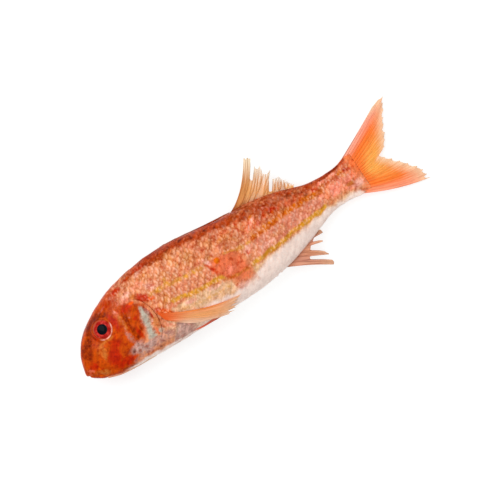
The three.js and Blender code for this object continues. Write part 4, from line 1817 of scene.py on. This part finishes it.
DORSAL_FIN = FinPlan(
    "rear_dorsal", "second_dorsal_fin", "pale_fin", roots=((114.6, 19.4), (153.0, 10.4)),
    bows=(-4.0, -0.2),
    tips=(
        (140.8, 41.6), (143.9, 39.4), (143.4, 34.2), (146.6, 33.4), (150.2, 28.4), (146.6, 25.4),
        (148.0, 22.8), (151.8, 22.4), (153.8, 18.4), (156.4, 13.4),
    ),
    webs=(1.01, 0.74, 0.95, 0.86, 0.95, 0.54, 0.97, 0.92, 0.92), ray=0.42, sway=0.9, fray=0.9,
    sheer=(0.0, 0.5, 1.3, 1.5, 1.0, 0.8, 1.6, 1.9, 1.6),
)
ANAL_FIN = FinPlan(
    "vent_fin", "anal_fin", "pale_fin", roots=((122.6, -20.8), (144.6, -16.8)), bows=(0.9, 0.7),
    tips=(
        (149.4, -36.2), (150.4, -33.8), (150.6, -29.8), (149.6, -27.8), (151.8, -21.7), (154.6, -17.7),
        (154.2, -15.6),
    ),
    webs=(1.02, 0.56, 1.02, 0.56, 0.62, 1.01), ray=0.42, sway=0.7, fray=0.4,
    sheer=(0.2, 0.6, 0.1, 0.4, 0.3, 0.0),
)
LEFT_PECTORAL = FinPlan(
    "left_breast_fin", "left_pectoral_fin", "orange_fin", roots=((52.6, -3.4), (54.0, -8.6)),
    bows=(-3.2, -2.2),
    tips=(
        (98.0, -20.8), (96.8, -21.6), (95.4, -22.5), (95.2, -23.6), (93.8, -24.7), (92.6, -25.6),
        (90.4, -26.5), (86.0, -26.6), (81.0, -25.2), (74.0, -22.6),
    ),
    webs=(0.97, 0.95, 0.92, 0.88, 0.93, 0.86, 0.95, 0.94, 0.95), ray=0.36, sway=0.4, proud=0.9,
    sheer=(0.0, 0.3, 0.6, 0.9, 1.0, 1.1, 1.2, 1.3, 1.4),
)
RIGHT_PECTORAL = FinPlan(
    "right_breast_fin", "right_pectoral_fin", "orange_fin", roots=((57.0, -13.8), (57.0, -16.6)),
    bows=(1.2, -0.6),
    tips=((97.0, -20.2), (95.6, -20.9), (92.0, -21.3), (88.0, -21.3), (83.0, -20.9), (76.0, -20.2)),
    ray=0.32, sway=0.0,
)
FOLDED_DORSAL = FinPlan(
    "front_dorsal", "first_dorsal_fin", "pale_fin", roots=((52.0, 22.8), (110.0, 18.8)),
    bulge=(0.0, 3.0), bows=(0.9, 0.3),
    tips=(
        (77.0, 26.6), (84.0, 25.7), (91.0, 24.6), (98.0, 23.4), (104.0, 22.5), (109.0, 21.9),
        (114.0, 21.4), (118.4, 20.8),
    ),
    ray=0.36, branched=False, sway=0.2, fray=0.5,
)


def pelvic_plan(side: Side) -> FinPlan:
    """The plan of a pelvic fin, which is folded back beside the belly's middle."""
    return FinPlan(
        f"{side.word}_belly_fin", f"{side.word}_pelvic_fin", "red_fin",
        roots=((60.6, -20.0), (60.8, -21.6)), bows=(0.4, -1.0),
        tips=((79.0, -23.6), (83.0, -24.2), (86.0, -25.0), (83.0, -25.3), (79.0, -25.1), (73.0, -24.4)),
        ray=0.3, sway=0.2,
    )


TAIL_FINISH = FinFinish(
    root="F98446", middle="FF7C2A", first="FFB096", last="FFA682", tip="FFDCB4", bone="F8B090",
    fork="FFB858", notch=0.53, spread=0.4, begin=-0.08, fade=0.64, clear=0.22, border="A0502C",
)
PECTORAL_FINISH = FinFinish(
    root="EE6A28", middle="F8B47E", first="F69448", last="F8D2B4", tip="FCD8B4", bone="F2B48A",
    fork="F8BA7C", stem=0.42, edge=0.45, clear=0.34, streaks=1.5, count=46.0,
)
PELVIC_FINISH = FinFinish(
    root="DE6646", middle="E87C60", first="E67456", last="EC9478", tip="F0AC94", bone="E89078",
    fork="E87C60", clear=0.2, count=40.0,
)
DORSAL_FINISH = FinFinish(
    root="9A340C", middle="E2A05C", first="CC8246", last="FFC062", tip="FBE8C8", bone="C88850",
    fork="EEAC68", notch=0.4, spread=0.5, stem=0.66, clear=0.5, streaks=1.3, count=60.0,
)
ANAL_FINISH = FinFinish(
    root="A4704C", middle="D8947A", first="E4A284", last="AE7A60", tip="F2BC98", bone="A4705C",
    fork="E49E7A", notch=0.5, spread=0.3, clear=0.25, streaks=1.2, count=36.0,
)
FOLDED_FINISH = FinFinish(
    root="962E08", middle="A63C10", first="A64012", last="B4683C", tip="AA6A48", bone="8A4420",
    fork="A63C10", clear=0.0, streaks=1.6, count=30.0,
)


# ---- the studio ----


@dataclass(frozen=True)
class Studio:
    """The pale floor, the soft light and the camera, which looks straight down.

    Args:
        width: How much of the table the picture is wide, in metres.
        turn: How far the fish's length is turned in the picture, in degrees.
        middle: The place in the middle of the picture, in the frame and in metres.
        lens: The camera's focal length, in millimetres.
    """

    width: float = 0.28
    turn: float = 34.0
    middle: tuple[float, float] = (0.0027, -0.0061)
    lens: float = 300.0
    sensor: float = 36.0
    focus_height: float = 0.014

    def build(self) -> None:
        """Sets up the studio."""
        self.floor()
        self.world()
        self.lamp("key_light", (-0.5, 0.75, 1.3), 1.3, 13.0)
        self.camera()

    def floor(self) -> None:
        """Lays the floor."""
        bm = bmesh.new()
        bmesh.ops.create_grid(bm, x_segments=1, y_segments=1, size=3.0)
        mesh = bpy.data.meshes.new("floor")
        bm.to_mesh(mesh)
        bm.free()
        material, _, surface = start_material("pale_floor")
        surface.inputs["Base Color"].default_value = (0.4, 0.425, 0.43, 1.0)
        surface.inputs["Roughness"].default_value = 0.9
        surface.inputs["Specular IOR Level"].default_value = 0.0
        surface.inputs["Emission Color"].default_value = (1.0, 1.0, 1.0, 1.0)
        surface.inputs["Emission Strength"].default_value = 0.67
        mesh.materials.append(material)
        floor = bpy.data.objects.new("floor", mesh)
        bpy.context.scene.collection.objects.link(floor)

    def world(self) -> None:
        """Fills the studio with even light."""
        world = bpy.data.worlds.new("studio")
        bpy.context.scene.world = world
        world.use_nodes = True
        recipe = Recipe(world.node_tree)
        split = recipe.add("ShaderNodeSeparateXYZ")
        recipe.feed(split.inputs[0], recipe.add("ShaderNodeTexCoord").outputs["Generated"])
        background = world.node_tree.nodes["Background"]
        background.inputs["Color"].default_value = (1.0, 1.0, 1.0, 1.0)
        recipe.feed(background.inputs["Strength"], recipe.step(split.outputs["Z"], 0.0, 0.9, 0.1, 0.9))
        bpy.context.scene.view_settings.view_transform = "Standard"

    @staticmethod
    def lamp(name: str, place: tuple[float, float, float], size: float, watts: float) -> None:
        """Hangs a soft square lamp that faces the fish.

        Args:
            name: Its name.
            place: Where it hangs, in metres.
            size: Its side, in metres.
            watts: Its power.
        """
        light = bpy.data.lights.new(name, "AREA")
        light.size = size
        light.energy = watts
        lamp = bpy.data.objects.new(name, light)
        lamp.location = place
        lamp.rotation_euler = (-Vector(place)).to_track_quat("-Z", "Y").to_euler()
        bpy.context.scene.collection.objects.link(lamp)

    def camera(self) -> None:
        """Sets up the camera."""
        data = bpy.data.cameras.new("camera")
        data.lens = self.lens
        data.sensor_width = self.sensor
        camera = bpy.data.objects.new("camera", data)
        height = self.focus_height + self.width * self.lens / self.sensor
        camera.location = (*self.middle, height)
        camera.rotation_euler = (0.0, 0.0, -math.radians(self.turn))
        bpy.context.scene.collection.objects.link(camera)
        bpy.context.scene.camera = camera


# ---- the fish ----


def build_fish(nodes: dict[str, bpy.types.Object]) -> None:
    """Makes every piece of the fish.

    Args:
        nodes: The CAD nodes, by name.
    """
    chart = Chart.of_body()
    bench = Workbench(chart)
    outside = [nodes[n] for n in ("body", "left_eye", "right_eye", "left_gill_cover", "right_gill_cover")]
    hull = Hull(chart, outside)
    tree = hull.tree()
    colouring = Colouring(hull)
    groups = SharedGroups()
    skin_finish = SkinFinish().material("wet_scaled_skin", groups)
    eye_finish = EyeFinish().material("wet_eye")
    barbel_finish = BarbelFinish().material("barbel_skin", groups)
    eyes = [Eye(chart, side) for side in Side]
    covers = [GillCover(chart, Surface(tree), side) for side in Side]
    Skin(hull, colouring, eyes, covers).build(bench, skin_finish)
    for eye in eyes:
        eye.build(bench, eye_finish)
    for cover in covers:
        cover.build(bench, colouring, skin_finish)
    for side in Side:
        Barbel(chart, tree, side).build(bench, barbel_finish)
    fins = (
        (TAIL_FIN, TAIL_FINISH), (DORSAL_FIN, DORSAL_FINISH), (ANAL_FIN, ANAL_FINISH),
        (FOLDED_DORSAL, FOLDED_FINISH), (LEFT_PECTORAL, PECTORAL_FINISH), (RIGHT_PECTORAL, PECTORAL_FINISH),
        (pelvic_plan(Side.LEFT), PELVIC_FINISH), (pelvic_plan(Side.RIGHT), PELVIC_FINISH),
    )
    for plan, finish in fins:
        Fin(chart, plan).build(bench, finish.material(f"{plan.piece}_skin", groups))


def main() -> None:
    """Builds the fish in its studio."""
    logging.basicConfig(level=logging.INFO, format="%(name)s: %(message)s")
    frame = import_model()
    Studio().build()
    build_fish(frame["nodes"])


if __name__ == "__main__":
    main()
